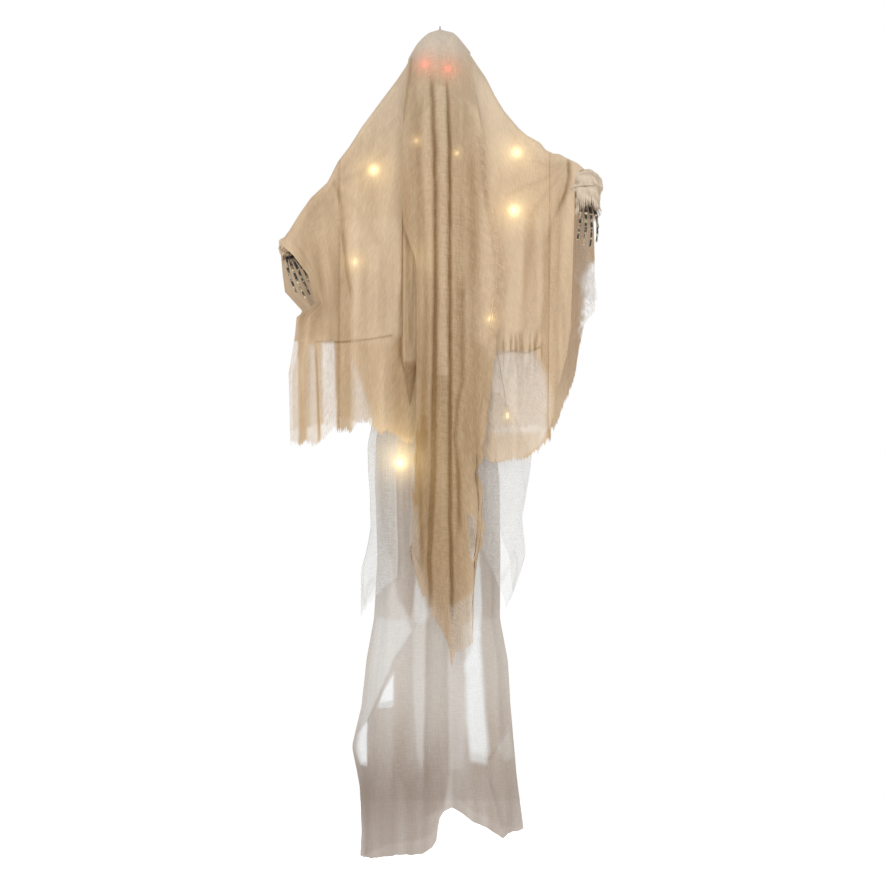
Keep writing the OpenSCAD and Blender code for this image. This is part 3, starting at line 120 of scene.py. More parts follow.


# what each point of a cloth carries: how dark it is with its painted shade, how closely woven and how pale it
# is, the painted glow of the lamps on it, and how far in from a torn edge it lies; a piece keeps these values
# where it gives no others
plainMarks = {"shade": 0.35, "cover": 0.9, "pale": 0, "warm": 0, "red": 0, "edge": 99}

# grains to the metre across and along the cloth, and how much detail they have
yarnGrain = {"down": (330, 45, 1), "across": (45, 330, 1), "slub": (38, 9, 4), "blotch": (8, 5, 3),
             "fray": (430, 12, 2)}


# Cotton gauze is a plain weave of loose threads about 1 mm apart. The eye gets fuzz instead of gloss, thicker
# threads here and there, light that comes through it, and a net of holes where only one cloth is left. The
# threads are drawn 3 mm apart, because 1 mm is finer than a pixel.
def gauze(name, lit, deep, pale, loose, through):
    m = newMaterial(name)
    uv = add(m, "UVMap")
    mark = {k: add(m, "Attribute", {"attribute_name": k}, "Fac") for k in plainMarks}
    yarn = {}
    for key, (across, along, detail) in yarnGrain.items():
        place = add(m, "Mapping", {"Scale": (across, along, 1)}, Vector=uv)
        yarn[key] = add(m, "TexNoise", {"Scale": 1, "Detail": detail}, "Fac", Vector=place)
    weave = add(m, "Math", {"operation": "ADD"}, i0=yarn["down"], i1=yarn["across"])

    # threads fill the marked share of the view, and the thinner the cloth, the more its weave shows
    net = add(m, "MapRange", {1: 0.72, 2: 1.28, 3: -loose, 4: loose}, i0=weave)
    thin = add(m, "MapRange", {1: 0.3, 2: 1, 3: 1, 4: 0.1}, i0=mark["cover"])
    net = add(m, "Math", {"operation": "MULTIPLY"}, i0=net, i1=thin)
    solid = add(m, "Math", {"operation": "ADD"}, i0=net, i1=mark["cover"])
    # towards a torn edge fewer and fewer threads are left, over about 10 mm
    fray = add(m, "MapRange", {1: 0.36, 2: 0.64, 3: -1.3, 4: 0.5}, i0=yarn["fray"])
    fray = add(m, "Math", {"operation": "MULTIPLY_ADD", "use_clamp": True, 1: 0.16}, i0=mark["edge"], i2=fray)
    solid = add(m, "Math", {"operation": "MULTIPLY", "use_clamp": True}, i0=solid, i1=fray)

    # darker where the cloth carries painted shade, in its folds and creases, in uneven patches of dye and in
    # the gaps between threads
    tone = add(m, "Math", {"operation": "MULTIPLY_ADD", 1: 0.22}, i0=yarn["blotch"], i2=mark["shade"])
    tone = add(m, "Math", {"operation": "MULTIPLY_ADD", 1: -0.22}, i0=yarn["slub"], i2=tone)
    dim = add(m, "MapRange", {1: 0.75, 2: 1.25, 3: 0.06, 4: -0.06}, i0=weave)
    tone = add(m, "Math", {"operation": "ADD", "use_clamp": True}, i0=tone, i1=dim)
    colour = add(m, "Mix", {"data_type": "RGBA", 6: linear(lit), 7: linear(deep)}, 2, i0=tone)
    colour = add(m, "Mix", {"data_type": "RGBA", 7: linear(pale)}, 2, i0=mark["pale"], i6=colour)

    relief = add(m, "Math", {"operation": "MULTIPLY_ADD", 1: 0.35}, i0=weave, i2=yarn["slub"])
    bump = add(m, "Bump", {"Strength": 0.14, "Distance": 0.004}, Height=relief)
    fuzz = {"Roughness": 0.92, "Specular IOR Level": 0.15, "Sheen Weight": 0.1, "Sheen Roughness": 0.5}
    face = add(m, "BsdfPrincipled", fuzz, Base_Color=colour, Normal=bump)
    lightThrough = add(m, "BsdfTranslucent", Color=colour, Normal=bump)
    cloth = add(m, "MixShader", {0: through}, i1=face, i2=lightThrough)
    # painted glow: the cloth gives off the light of the lamps behind it, as strongly as its warm and red
    # marks say
    warm = add(m, "Emission", {"Color": linear("#FFDE9A")}, Strength=mark["warm"])
    red = add(m, "Emission", {"Color": linear("#FF3E36")}, Strength=mark["red"])
    cloth = add(m, "AddShader", i0=cloth, i1=add(m, "AddShader", i0=warm, i1=red))
    add(m, "OutputMaterial", Surface=add(m, "MixShader", i0=solid, i1=add(m, "BsdfTransparent"), i2=cloth))
    return m


tanGauze = gauze("cotton gauze, tea dyed, loose plain weave", "#DEC7A9", "#8E704B", "#D8D0C6", 0.3, 0.16)
whiteGauze = gauze("cotton gauze, undyed, very open weave", "#D3C8BC", "#94857A", "#E4E8EA", 0.09, 0.25)


def solidFinish(name, colour, second, scale, roughness, metallic=0.0, grain=0.1, bump=0.2, stretch=(1, 1, 1)):
    # a solid with a fine grain: two near colours and a bump from one noise, at scale grains to the metre
    m = newMaterial(name)
    place = add(m, "Mapping", {"Scale": stretch}, Vector=add(m, "TexCoord", out="Object"))
    fine = add(m, "TexNoise", {"Scale": scale, "Detail": 3}, "Fac", Vector=place)
    wide = add(m, "TexNoise", {"Scale": scale / 12, "Detail": 3}, "Fac", Vector=place)
    share = add(m, "MapRange", {1: 0.4, 2: 0.6}, i0=wide)
    tone = add(m, "Mix", {"data_type": "RGBA", 6: linear(colour), 7: linear(second)}, 2, i0=share)
    rough = add(m, "MapRange", {1: 0.3, 2: 0.7, 3: roughness - grain, 4: roughness + grain}, i0=fine)
    relief = add(m, "Bump", {"Strength": bump, "Distance": 0.0004}, Height=fine)
    face = add(m, "BsdfPrincipled", {"Metallic": metallic}, Base_Color=tone, Roughness=rough, Normal=relief)
    add(m, "OutputMaterial", Surface=face)
    return m


# Zinc-plated steel is bluish grey with a satin drawn grain. ABS is near black with a fine spark texture from
# the mould. Extruded tube and wire cover have faint lines along them. Each gives the eye its own gloss in the
# gaps of the cloth.
zincSteel = solidFinish("steel, zinc plated, drawn", "#B9BCC0", "#9A9DA2", 900, 0.34, 1.0,
                        stretch=(1, 1, 0.1))
blackAbs = solidFinish("ABS, black, moulded with a spark texture", "#151515", "#1E1D1C", 1400, 0.55)
greyTube = solidFinish("polypropylene tube, grey, extruded", "#37383A", "#444547", 500, 0.5,
                       stretch=(1, 1, 0.2))
wirePvc = solidFinish("PVC wire cover, clear over tinned copper, extruded", "#C9BA98", "#B5A482", 700, 0.28)
boardLaminate = solidFinish("glass laminate board, green lacquer", "#12512A", "#0E4022", 400, 0.3)
cellSleeve = solidFinish("battery cell, shrunk plastic sleeve", "#8A6A2C", "#5C4A28", 250, 0.3)
contactNickel = solidFinish("spring steel, nickel plated", "#C9C6BE", "#ACA9A2", 800, 0.25, 1.0)


# Bone-coloured PVC with black rubbed into it: ivory on the edges that the paint was wiped from, black in the
# hollows, at the knuckles and at the finger tips.
def makeBone():
    m = newMaterial("PVC bone, moulded, black rubbed in")
    place = add(m, "TexCoord", out="Object")
    wear = add(m, "TexNoise", {"Scale": 80, "Detail": 4, "Roughness": 0.55}, "Fac", Vector=place)
    fine = add(m, "TexNoise", {"Scale": 420, "Detail": 3}, "Fac", Vector=place)
    hollow = add(m, "MapRange", {1: 0.44, 2: 0.56, 3: 0.8, 4: -0.5},
                 i0=add(m, "NewGeometry", out="Pointiness"))
    rubbed = add(m, "MapRange", {1: 0.4, 2: 0.58, 3: 1.0, 4: 0.0}, i0=wear)
    black = add(m, "Math", {"operation": "ADD", "use_clamp": True}, i0=hollow, i1=rubbed)
    tone = add(m, "Mix", {"data_type": "RGBA", 6: linear("#CFC0A2"), 7: linear("#14110E")}, 2, i0=black)
    relief = add(m, "Bump", {"Strength": 0.4, "Distance": 0.0008}, Height=fine)
    rough = add(m, "MapRange", {1: 0.3, 2: 0.7, 3: 0.42, 4: 0.62}, i0=fine)
    add(m, "OutputMaterial", Surface=add(m, "BsdfPrincipled", Base_Color=tone, Roughness=rough,
                                         Normal=relief))
    return m


# A lit lamp is clear coloured plastic with the light inside, uneven where the lens is thick.
def litLens(name, colour, strength):
    m = newMaterial(name)
    swirl = add(m, "TexNoise", {"Scale": 300, "Detail": 2}, "Fac", Vector=add(m, "TexCoord", out="Object"))
    power = add(m, "MapRange", {1: 0.3, 2: 0.7, 3: strength * 0.85, 4: strength * 1.1}, i0=swirl)
    lens = {"Base Color": linear(colour), "Roughness": 0.2, "IOR": 1.49, "Emission Color": linear(colour)}
    add(m, "OutputMaterial", Surface=add(m, "BsdfPrincipled", lens, Emission_Strength=power))
    return m


agedBone = makeBone()
redLens = litLens("red lamp lens, clear acrylic, lit", "#FF2A18", 10)
warmLens = litLens("warm white lamp, frosted epoxy, lit", "#FFE2A6", 5)

finishes = {
    zincSteel: "hanging_eye crown_washer head_screws neck_nut yoke_screws robe_hoop door_screw "
               "left_shoulder_bolt right_shoulder_bolt left_elbow_bolt right_elbow_bolt "
               "left_wrist_bolt right_wrist_bolt",
    blackAbs: "head_front head_rear eye_bezels neck_plug shoulder_block hoop_hub battery_case battery_door "
              "switch_knob",
    greyTube: "spine_tube left_yoke right_yoke left_upper_arm right_upper_arm left_forearm right_forearm",
    agedBone: "left_hand right_hand",
    redLens: "eye_lamps",
    warmLens: "robe_bulbs",
    wirePvc: "eye_harness robe_light_string",
    boardLaminate: "circuit_board",
    cellSleeve: "battery_cells",
    contactNickel: "battery_contacts",
}
for material, names in finishes.items():
    for name in names.split():
        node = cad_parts[name]
        node.data.materials.clear()
        node.data.materials.append(material)
print("materials made")

# the figure that the cloth hangs on: its head, the pivots of its arms, how far over an elbow the cloth lies,
# how far past the wrist a sleeve goes, and how far past it the line of the arms goes on
figure = {"shoulderX": 95, "headR": 69, "drop": 2139, "crownZ": -11,
          "leftElbow": (-262.05, -77.897, -390.898), "leftWrist": (-390.385, -137.74, -572.14),
          "rightElbow": (291.574, -79.421, -354.48), "rightWrist": (361.814, -280.119, -442.154),
          "leftOver": 37, "rightOver": 34, "leftPast": 16, "rightPast": -16, "beyond": 200}
shoulderX, headR, drop = figure["shoulderX"], figure["headR"], figure["drop"]
joint = {k: np.array(figure[k]) for k in ("leftElbow", "leftWrist", "rightElbow", "rightWrist")}


def flatLength(a, b):
    # the distance between two points, seen from above
    return float(np.hypot(*(np.array(b)[:2] - np.array(a)[:2])))


# w runs along the arms, seen from above, from 0 at the head, and is negative on the left
leftUpper = flatLength((-shoulderX, 0), joint["leftElbow"])
leftFore = flatLength(joint["leftElbow"], joint["leftWrist"])
rightUpper = flatLength((shoulderX, 0), joint["rightElbow"])
rightFore = flatLength(joint["rightElbow"], joint["rightWrist"])
leftElbowW, rightElbowW = shoulderX + leftUpper, shoulderX + rightUpper
leftWristW, rightWristW = leftElbowW + leftFore, rightElbowW + rightFore
leftEndW, rightEndW = leftWristW + figure["leftPast"], rightWristW + figure["rightPast"]
beyond = figure["beyond"]
leftFar = joint["leftElbow"] + (joint["leftWrist"] - joint["leftElbow"]) * (1 + beyond / leftFore)
rightFar = joint["rightElbow"] + (joint["rightWrist"] - joint["rightElbow"]) * (1 + beyond / rightFore)
pathW = [-leftWristW - beyond, -leftElbowW, -shoulderX, shoulderX, rightElbowW, rightWristW + beyond]
pathX = [leftFar[0], joint["leftElbow"][0], -shoulderX, shoulderX, joint["rightElbow"][0], rightFar[0]]
pathY = [leftFar[1], joint["leftElbow"][1], 0, 0, joint["rightElbow"][1], rightFar[1]]


def plan(w):
    # the line over the head and arms, seen from above, with its corners averaged away
    steps = (-32, -16, 0, 16, 32)
    return [sum(np.interp(w + s, pathW, path) for s in steps) / len(steps) for path in (pathX, pathY)]


# the cloth's highest line: shares of the way out and of the fall, up to the shoulder, the elbow and the wrist
ridgeShares = {
    "leftHood": [[0, 0], [.3, .024], [.46, .059], [.63, .109], [.8, .19], [.93, .259]],
    "leftUpper": [[.1, .366], [.315, .512], [.635, .735], [.82, .887], [1, 1]],
    "leftFore": [[.19, .3], [.51, .525], [.74, .77], [.92, .99], [1.06, 1.13], [1.14, 1.17]],
    "rightHood": [[0, 0], [.36, .026], [.5, .065], [.65, .12], [.85, .2], [1.01, .275]],
    "rightUpper": [[.123, .389], [.24, .543], [.35, .665], [.538, .815], [.646, .88], [.816, .945],
                   [.892, 1.0], [1, 1.02]],
    "rightFore": [[.32, .33], [.649, .56], [.922, .84], [1.05, 1.06], [1.13, 1.4]],
}


def ridgeTable(side, upper, fore):
    # the places and heights that ridgeShares stand for on one side
    top, elbow, wrist = figure["crownZ"], joint[side + "Elbow"][2], joint[side + "Wrist"][2]
    fall, foreFall = top - elbow - figure[side + "Over"], elbow - wrist
    return ([[s * shoulderX, top - t * fall] for s, t in ridgeShares[side + "Hood"]]
            + [[shoulderX + s * upper, top - t * fall] for s, t in ridgeShares[side + "Upper"]]
            + [[shoulderX + upper + s * fore, top - fall - t * foreFall]
               for s, t in ridgeShares[side + "Fore"]])


leftRidge, rightRidge = ridgeTable("left", leftUpper, leftFore), ridgeTable("right", rightUpper, rightFore)


def ridgeZ(w):
    # height of the cloth's highest line over the head, shoulders and arms
    return np.where(w < 0, look(leftRidge, np.abs(w), 3), look(rightRidge, np.abs(w), 3))


# shares of the head's radius at places along the arms, which are counted in shoulderX
roundShares = {
    "nose": [[0, 1.17], [.42, 1.06], [.74, .8], [.95, .6], [1.2, .47], [1.65, .37], [2.2, .33], [2.9, .5],
             [3.4, .52], [4.2, .76], [4.6, .86], [5.2, .66]],
    "fall": [[0, 1.44], [.42, 1.43], [.74, 1.4], [.95, 1.36], [1.2, 1.28], [1.65, 1.14], [2.2, .97], [3, .83],
             [4, .9], [4.8, .96], [5.8, .9]],
}


def nose(w):
    # radius of the cloth's turn over its ridge
    return headR * look(roundShares["nose"], np.abs(w) / shoulderX, 0.04)


def fallDepth(w):
    # how far the cloth hangs from the ridge line, lower down
    return headR * look(roundShares["fall"], np.abs(w) / shoulderX, 0.04)


# depth and pitch of the long folds, the way down over which they and the fall open, the small creases on
# them, and the degrees that the right sleeve turns through near its elbow
folds = {"depth": 13, "pitch": 74, "wander": 26, "reach": 300, "fallReach": 420,
         "crumple": 2.4, "crinkle": 1.0, "swell": 2.4, "turn": 32, "turnBefore": 32, "turnOver": 96}


def crumple(w, z, side):
    # small uneven creases that every layer over the ridge shares, so that none pokes through its neighbour
    seed = 3 if side > 0 else 8
    return (folds["crumple"] * noise(w / 24, z / 120, seed)
            + folds["crinkle"] * noise(w / 10, z / 46, seed + 1)
            + folds["swell"] * noise(w / 60 + z / 240, z / 230 - w / 400, seed + 2))


def foldAt(w, z, d, side):
    # long folds: a cosine wave whose phase wanders down the cloth, mixed with wider and slanting random ones
    k = w * (1 if side > 0 else 0.9) + folds["wander"] * noise(w / 110, z / 380, 5)
    wave = 0.35 * np.cos(np.radians(360 * k / folds["pitch"] + 30))
    wave = wave + 0.55 * noise(w / 46 + z / 900, z / 520, 9 + side)
    wave = wave + 0.3 * noise(w / 23 - z / 700, z / 430, 12 + side)
    beside = ease((np.abs(w) - shoulderX * 0.85) / (shoulderX * 0.6))
    return folds["depth"] * wave * ease(d / folds["reach"]) * beside


# the sideways swing of the sleeves' free ends, in shares of the height at shares of the way down
driftShares = {
    "front": [[.262, 0], [.27, .006], [.281, .019], [.304, .038], [.337, .049], [.354, .024], [.375, .022],
              [.42, .014], [.5, .016]],
    "back": [[.279, 0], [.3, .002], [.321, .005], [.343, .027], [.356, .021], [.372, .025], [.42, .0145],
             [.5, .0145]],
    "right": [[.3, 0], [.5, -.004]],
}


def drift(w, z, side):
    # the swing at a height grows evenly from nothing at the elbow to the whole at the sleeve's end
    t = -z / drop
    left = look(driftShares["front" if side > 0 else "back"], t)
    left = left * np.maximum(0, (-w - leftElbowW) / (leftEndW - leftElbowW))
    right = look(driftShares["right"], t) * np.maximum(0, (w - rightElbowW) / (rightEndW - rightElbowW))
    return drop * np.where(w < 0, left, right)


def sleeveTurn(w):
    # the right sleeve turns to face away from its forearm, in one smooth step about the elbow
    return np.radians(folds["turn"] * ease((w - rightElbowW + folds["turnBefore"]) / folds["turnOver"]))


def fallen(run, r):
    # how far down a cloth has come after a way along it: r(1 - cos(way / r)) on its turn, then straight on
    quarter = r * np.pi / 2
    return np.where(run < quarter, r * (1 - np.cos(np.minimum(run / r, np.pi / 2))), run - quarter + r)


def hang(w, d, lift):
    # how far out and how much higher a cloth stands at a fall d under its ridge: a quarter circle of radius
    # nose(w), then a fall that leans out to fallDepth(w), with the lift square to both
    r = nose(w)
    a = np.arccos(np.clip(1 - d / r, 0, 1))
    out = r * np.sin(a) + (fallDepth(w) - r) * ease(d / folds["fallReach"]) + lift * np.sin(a)
    return out, lift * np.cos(a)


def drape(w, d, side, lift):
    # points of a cloth over the arms: the line seen from above, the way out from it and the swing along it
    z = ridgeZ(w) - d
    lift = lift + foldAt(w, z, d, side) + crumple(w, z, side) * ease(d / 120) * ease((np.abs(w) - 30) / 60)
    out, up = hang(w, d, lift)
    turn, swing = sleeveTurn(w), drift(w, z, side)
    (px, py), (qx, qy) = plan(w), plan(w + 1)
    along = np.hypot(qx - px, qy - py)
    x = px - side * out * np.sin(turn) + (qx - px) / along * swing
    y = py - side * out * np.cos(turn) + (0 if side > 0 else (qy - py) / along * swing)
    return np.stack([x, y, z + up], -1)


def joined(front, back):
    # the front's rows from hem to ridge, then the back's from ridge to hem
    return np.concatenate([front[:, ::-1], back[:, 1:]], 1)


def joinHalves(front, back):
    # the points, the way along the cloth and the marks of both halves
    (points, v, marks), (backPoints, backV, backMarks) = front, back
    return joined(points, backPoints), joined(v, backV), {k: joined(marks[k], backMarks[k]) for k in marks}


# each lamp's place, how strong the painted glow that it leaves on the cloth is, and the widths of its
# bright middle and halo
lampLight = {
    "warm": [((-61, -112, -303), 1.5, 5, 15), ((-170, -62, -374), 1.5, 12, 40),
             ((-216, -102, -612), .95, 9, 30), ((43, -116, -336), 1.1, 4, 13),
             ((196, -60, -330), 1.5, 12, 40), ((190, -82, -480), 1.8, 13, 42),
             ((128, -112, -757), 1.4, 5, 16), ((172, -88, -1002), .35, 6, 16),
             ((-102, -54, -1122), 2.1, 14, 46), ((-48, -84, -600), .1, 34, 70),
             ((-100, -70, -1110), .36, 40, 105), ((-120, -70, -1080), .2, 60, 130)],
    "red": [((-38, -80, -106), 1.3, 6, 27), ((19.5, -80, -119), 1.3, 6, 27)],
}


def glow(points, kind):
    # painted light that the cloth gives off near each lamp: a bright middle and a wide faint halo, both bell
    # curves of the distance, in which depth counts less
    total = 0
    for place, strength, middle, halo in lampLight[kind]:
        away = (((points - np.array(place)) * (1, 0.4, 1)) ** 2).sum(-1)
        total = total + strength * (0.8 * np.exp(-away / middle ** 2) + 0.17 * np.exp(-away / halo ** 2))
    return total


def clothPiece(name, points, u, v, marks, material, body=None, ring=False, skip=None):
    # a grid of points, columns then rows, to one sheet of quads; u and v are millimetres along the cloth
    columns, rows = points.shape[:2]
    i, j = np.meshgrid(np.arange(columns if ring else columns - 1), np.arange(rows - 1), indexing="ij")
    nxt = (i + 1) % columns
    quads = np.stack([i * rows + j, nxt * rows + j, nxt * rows + j + 1, i * rows + j + 1], -1).reshape(-1, 4)
    flat = points.reshape(-1, 3)
    lastColumn = (i == columns - 1).ravel()
    if skip is not None:
        kept = ~skip(flat[quads].mean(1))
        quads, lastColumn = quads[kept], lastColumn[kept]
    mesh = bpy.data.meshes.new(name)
    mesh.vertices.add(len(flat))
    mesh.vertices.foreach_set("co", (flat * mm).astype(np.float32).ravel())
    mesh.loops.add(quads.size)
    mesh.loops.foreach_set("vertex_index", quads.astype(np.int32).ravel())
    mesh.polygons.add(len(quads))
    mesh.polygons.foreach_set("loop_start", np.arange(0, quads.size, 4, dtype=np.int32))
    mesh.polygons.foreach_set("use_smooth", np.ones(len(quads), bool))
    mesh.update(calc_edges=True)
    uv = np.stack(np.broadcast_arrays(u, v), -1).reshape(-1, 2) * mm
    corner = uv[quads.ravel()].reshape(-1, 4, 2).copy()
    if ring:  # the far side of the last column lies one whole turn on
        corner[lastColumn, 1:3, 0] += np.ptp(uv[:, 0]) * columns / (columns - 1)
    mesh.uv_layers.new(name="uv").data.foreach_set("uv", corner.astype(np.float32).ravel())
    for key, value in {**plainMarks, **marks}.items():
        numbers = np.broadcast_to(value, points.shape[:2]).astype(np.float32).ravel()
        mesh.attributes.new(key, "FLOAT", "POINT").data.foreach_set("value", numbers)
    mesh.materials.append(material)
    piece = show(name, mesh)
    if body:
        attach(piece, body)
    a, b, c, d = (flat[quads[:, k]] for k in range(4))
    halves = np.cross(b - a, c - a), np.cross(c - a, d - a)
    area = sum(np.linalg.norm(half, axis=1).sum() for half in halves) / 2
    print(name, len(quads), "quads,", round(area * mm * mm, 3), "square metres")
    return piece


def span(x, x0, x1, soft):
    # 1 between two values, fading over soft at each
    return ease((x - x0) / soft + .5) * ease((x1 - x) / soft + .5)


def offLine(x, z, start, end):
    # how far a point lies, in x and in z, from the nearest point of a straight line between two others
    (ax, az), (bx, bz) = start, end
    t = np.clip(((x - ax) * (bx - ax) + (z - az) * (bz - az)) / ((bx - ax) ** 2 + (bz - az) ** 2), 0, 1)
    return x - ax - t * (bx - ax), z - az - t * (bz - az)


def patch(x, z, corners, soft):
    # 1 inside an outline on the x, z plane, from the distance to its nearest side; a point is inside where a
    # line from it crosses the sides an odd number of times
    c = np.array(corners, float)
    far, inside = np.full(np.shape(x), 1e9), np.zeros(np.shape(x), bool)
    for (ax, az), (bx, bz) in zip(c, np.roll(c, -1, 0)):
        far = np.minimum(far, np.hypot(*offLine(x, z, (ax, az), (bx, bz))))
        inside ^= ((az > z) != (bz > z)) & (x < (bx - ax) * (z - az) / (bz - az if bz != az else 1) + ax)
    return ease(np.where(inside, far, -far) / (2 * soft) + 0.5)


def stroke(x, z, route, width):
    # 1 on a line of points in the x, z plane, falling off as a bell curve of the distance to it
    best = np.zeros(np.shape(x))
    for start, end in zip(route[:-1], route[1:]):
        offX, offZ = offLine(x, z, start, end)
        best = np.maximum(best, np.exp(-(offX ** 2 + offZ ** 2) / width ** 2))
    return best


def crease(x, z, route, left, right):
    # 1 on a line that runs down the cloth, falling off over its own width to each side, and out at its ends
    r = np.array(route, float)[::-1]
    off = x + 1.5 * noise(z / 55, z / 90, 29) - np.interp(z, r[:, 1], r[:, 0])
    ends = ease((r[-1, 1] + 20 - z) / 60) * ease((z - r[0, 1] + 20) / 60)
    return np.exp(-(off / np.where(off < 0, left, right)) ** 2) * ends


def paint(x, z, style, marks, front=1.0, facing=1.0):
    # the overlaps and lines seen in the cloth, partly layers of cloth and partly painted shade and highlight:
    # patches (outline, darker, thinner, paler, soft edge), creases down it (route, width left, width right,
    # darker) and strokes across it (route, width, darker), which paint shade along folds and seams; facing
    # weakens the patches
    for corners, darker, thinner, paler, soft in style.get("patches", ()):
        on = facing * patch(x + 1.2 * noise(x / 13, z / 17, 91), z, corners, soft)
        marks["shade"] = marks["shade"] + darker * on
        marks["cover"] = marks["cover"] - thinner * on
        marks["pale"] = marks["pale"] + paler * on
    for route, left, right, darker in style.get("creases", ()):
        marks["shade"] = marks["shade"] + front * darker * crease(x, z, route, left, right)
    for route, width, darker in style.get("strokes", ()):
        marks["shade"] = marks["shade"] + front * darker * stroke(x, z, route, width)
    marks["shade"], marks["pale"] = np.clip(marks["shade"], 0, 1), np.clip(marks["pale"], 0, 1)
    marks["cover"] = np.clip(marks["cover"], 0.05, 1)
    return marks


capeStyle = {
    "column": 4, "rows": 320, "cover": 0.95,
    # at the back the right sleeve's free end is white and thin, low down
    "whiteEnd": [(364, -655), (378, -625), (440, -600), (450, -770), (358, -800)],
    "patches": [
        # left, under the seam, strips of one and of two cloths
        ([(-372, -818), (-356, -818), (-356, -1079), (-384, -1064)], -.05, .4, .35, 2.5),
        ([(-355, -818), (-336, -818), (-337, -1079), (-355, -1079)], .12, 0, 0, 2.5),
        ([(-333, -823), (-315, -823), (-309, -1079), (-333, -1079)], -.05, .34, .3, 4),
        ([(-303, -818), (-269, -813), (-260, -1064), (-299, -1079)], -.12, .5, .5, 3),
        ([(-266, -813), (-228, -811), (-223, -1054), (-258, -1064)], .16, 0, 0, 3),
        ([(-224, -856), (-200, -912), (-170, -1014), (-190, -1074), (-223, -1034)], -.05, .36, .3, 9),
        # left, over it
        ([(-270, -455), (-243, -557), (-223, -709), (-223, -813), (-263, -813), (-269, -608)], .2, 0, 0, 8),
        ([(-238, -519), (-106, -494), (-96, -785), (-122, -823), (-223, -813)], -.1, 0, .06, 14),
        ([(-340, -470), (-275, -420), (-268, -600), (-275, -810), (-350, -810), (-360, -600)], .16, 0, 0, 16),
        ([(-123, -800), (-60, -800), (-60, -1060), (-123, -1060)], .22, 0, 0, 12),
        # right, the rounded single cloth under the gathered seam, and the lighter one over it
        ([(112, -838), (177, -838), (241, -838), (271, -899), (281, -963), (274, -1026), (253, -1082),
          (203, -1112), (112, -1124), (104, -1014)], -.12, .33, .42, 7),
        ([(112, -1050), (255, -1040), (262, -1120), (112, -1130)], .16, -.22, -.24, 14),
        ([(107, -500), (256, -500), (261, -709), (253, -773), (236, -818), (177, -837), (119, -838),
          (96, -709)],
         -.12, 0, .08, 9),
        ([(266, -545), (304, -456), (350, -545), (347, -785), (324, -963), (299, -1064), (276, -1069),
          (286, -963), (274, -892), (246, -836), (261, -773)], .14, 0, 0, 9),
        ([(60, -700), (104, -700), (107, -1090), (60, -1090)], .16, 0, 0, 10),
        # the lowest lamp shows faintly
        ([(160, -985), (184, -985), (184, -1020), (160, -1020)], 0, -.3, 0, 8),
    ],
    "creases": [
        ([(-269, -410), (-253, -469), (-248, -545), (-238, -633), (-225, -709)], 2.5, 9, .45),
        ([(-314, -823), (-309, -912), (-304, -1064)], 2.5, 2.5, .5),
        ([(-89, -633), (-99, -709), (-101, -811), (-101, -867)], 7, 3, .4),
        ([(322, -352), (318, -410), (309, -451), (294, -494)], 3.5, 9, .8),
        ([(262, -560), (264, -700), (258, -790)], 3, 12, .12),
        ([(330, -560), (335, -700), (322, -850), (300, -1000)], 14, 6, .15),
        ([(190, -500), (200, -640), (196, -800)], 22, 14, -.08),
        ([(150, -880), (158, -960), (150, -1080)], 7, 12, .16),
        ([(215, -850), (226, -930), (222, -1010)], 9, 6, .12),
        ([(-160, -480), (-150, -620), (-158, -780)], 24, 10, .09),
        ([(-205, -560), (-196, -700), (-204, -800)], 10, 22, .08),
        ([(-312, -560), (-300, -680), (-306, -800)], 12, 8, .14),
        ([(-345, -560), (-338, -700), (-345, -810)], 10, 7, .12),
        # painted shade of the gathers above and below the right seam
        ([(120, -788), (128, -842)], 2, 4, .3), ([(141, -776), (144, -842)], 2, 5, .32),
        ([(163, -784), (160, -842)], 2, 4, .28), ([(186, -776), (178, -842)], 3, 3, .3),
        ([(206, -784), (195, -842)], 4, 2, .36), ([(232, -790), (214, -842)], 4, 2, .36),
        ([(136, -842), (129, -905)], 2, 5, .34), ([(152, -842), (151, -935)], 2, 5, .36),
        ([(170, -842), (176, -915)], 4, 2, .34), ([(192, -842), (203, -925)], 4, 2, .32),
        ([(212, -842), (231, -900)], 4, 2, .28),
    ],
    "strokes": [
        ([(-309, -817), (-241, -816), (-177, -808), (-122, -798)], 2.4, .5),
        ([(319, -372), (253, -405), (177, -436)], 7, .16), ([(319, -380), (266, -443), (215, -519)], 7, .15),
        ([(317, -393), (294, -469), (274, -557)], 6, .15), ([(319, -368), (283, -372), (240, -352)], 6, .14),
        ([(-269, -415), (-203, -385), (-139, -329)], 8, .12),
        ([(-262, -430), (-215, -470), (-160, -560)], 9, .09),
        ([(112, -841), (147, -846), (183, -838), (218, -844), (253, -829)], 2.6, .55),
    ],
}


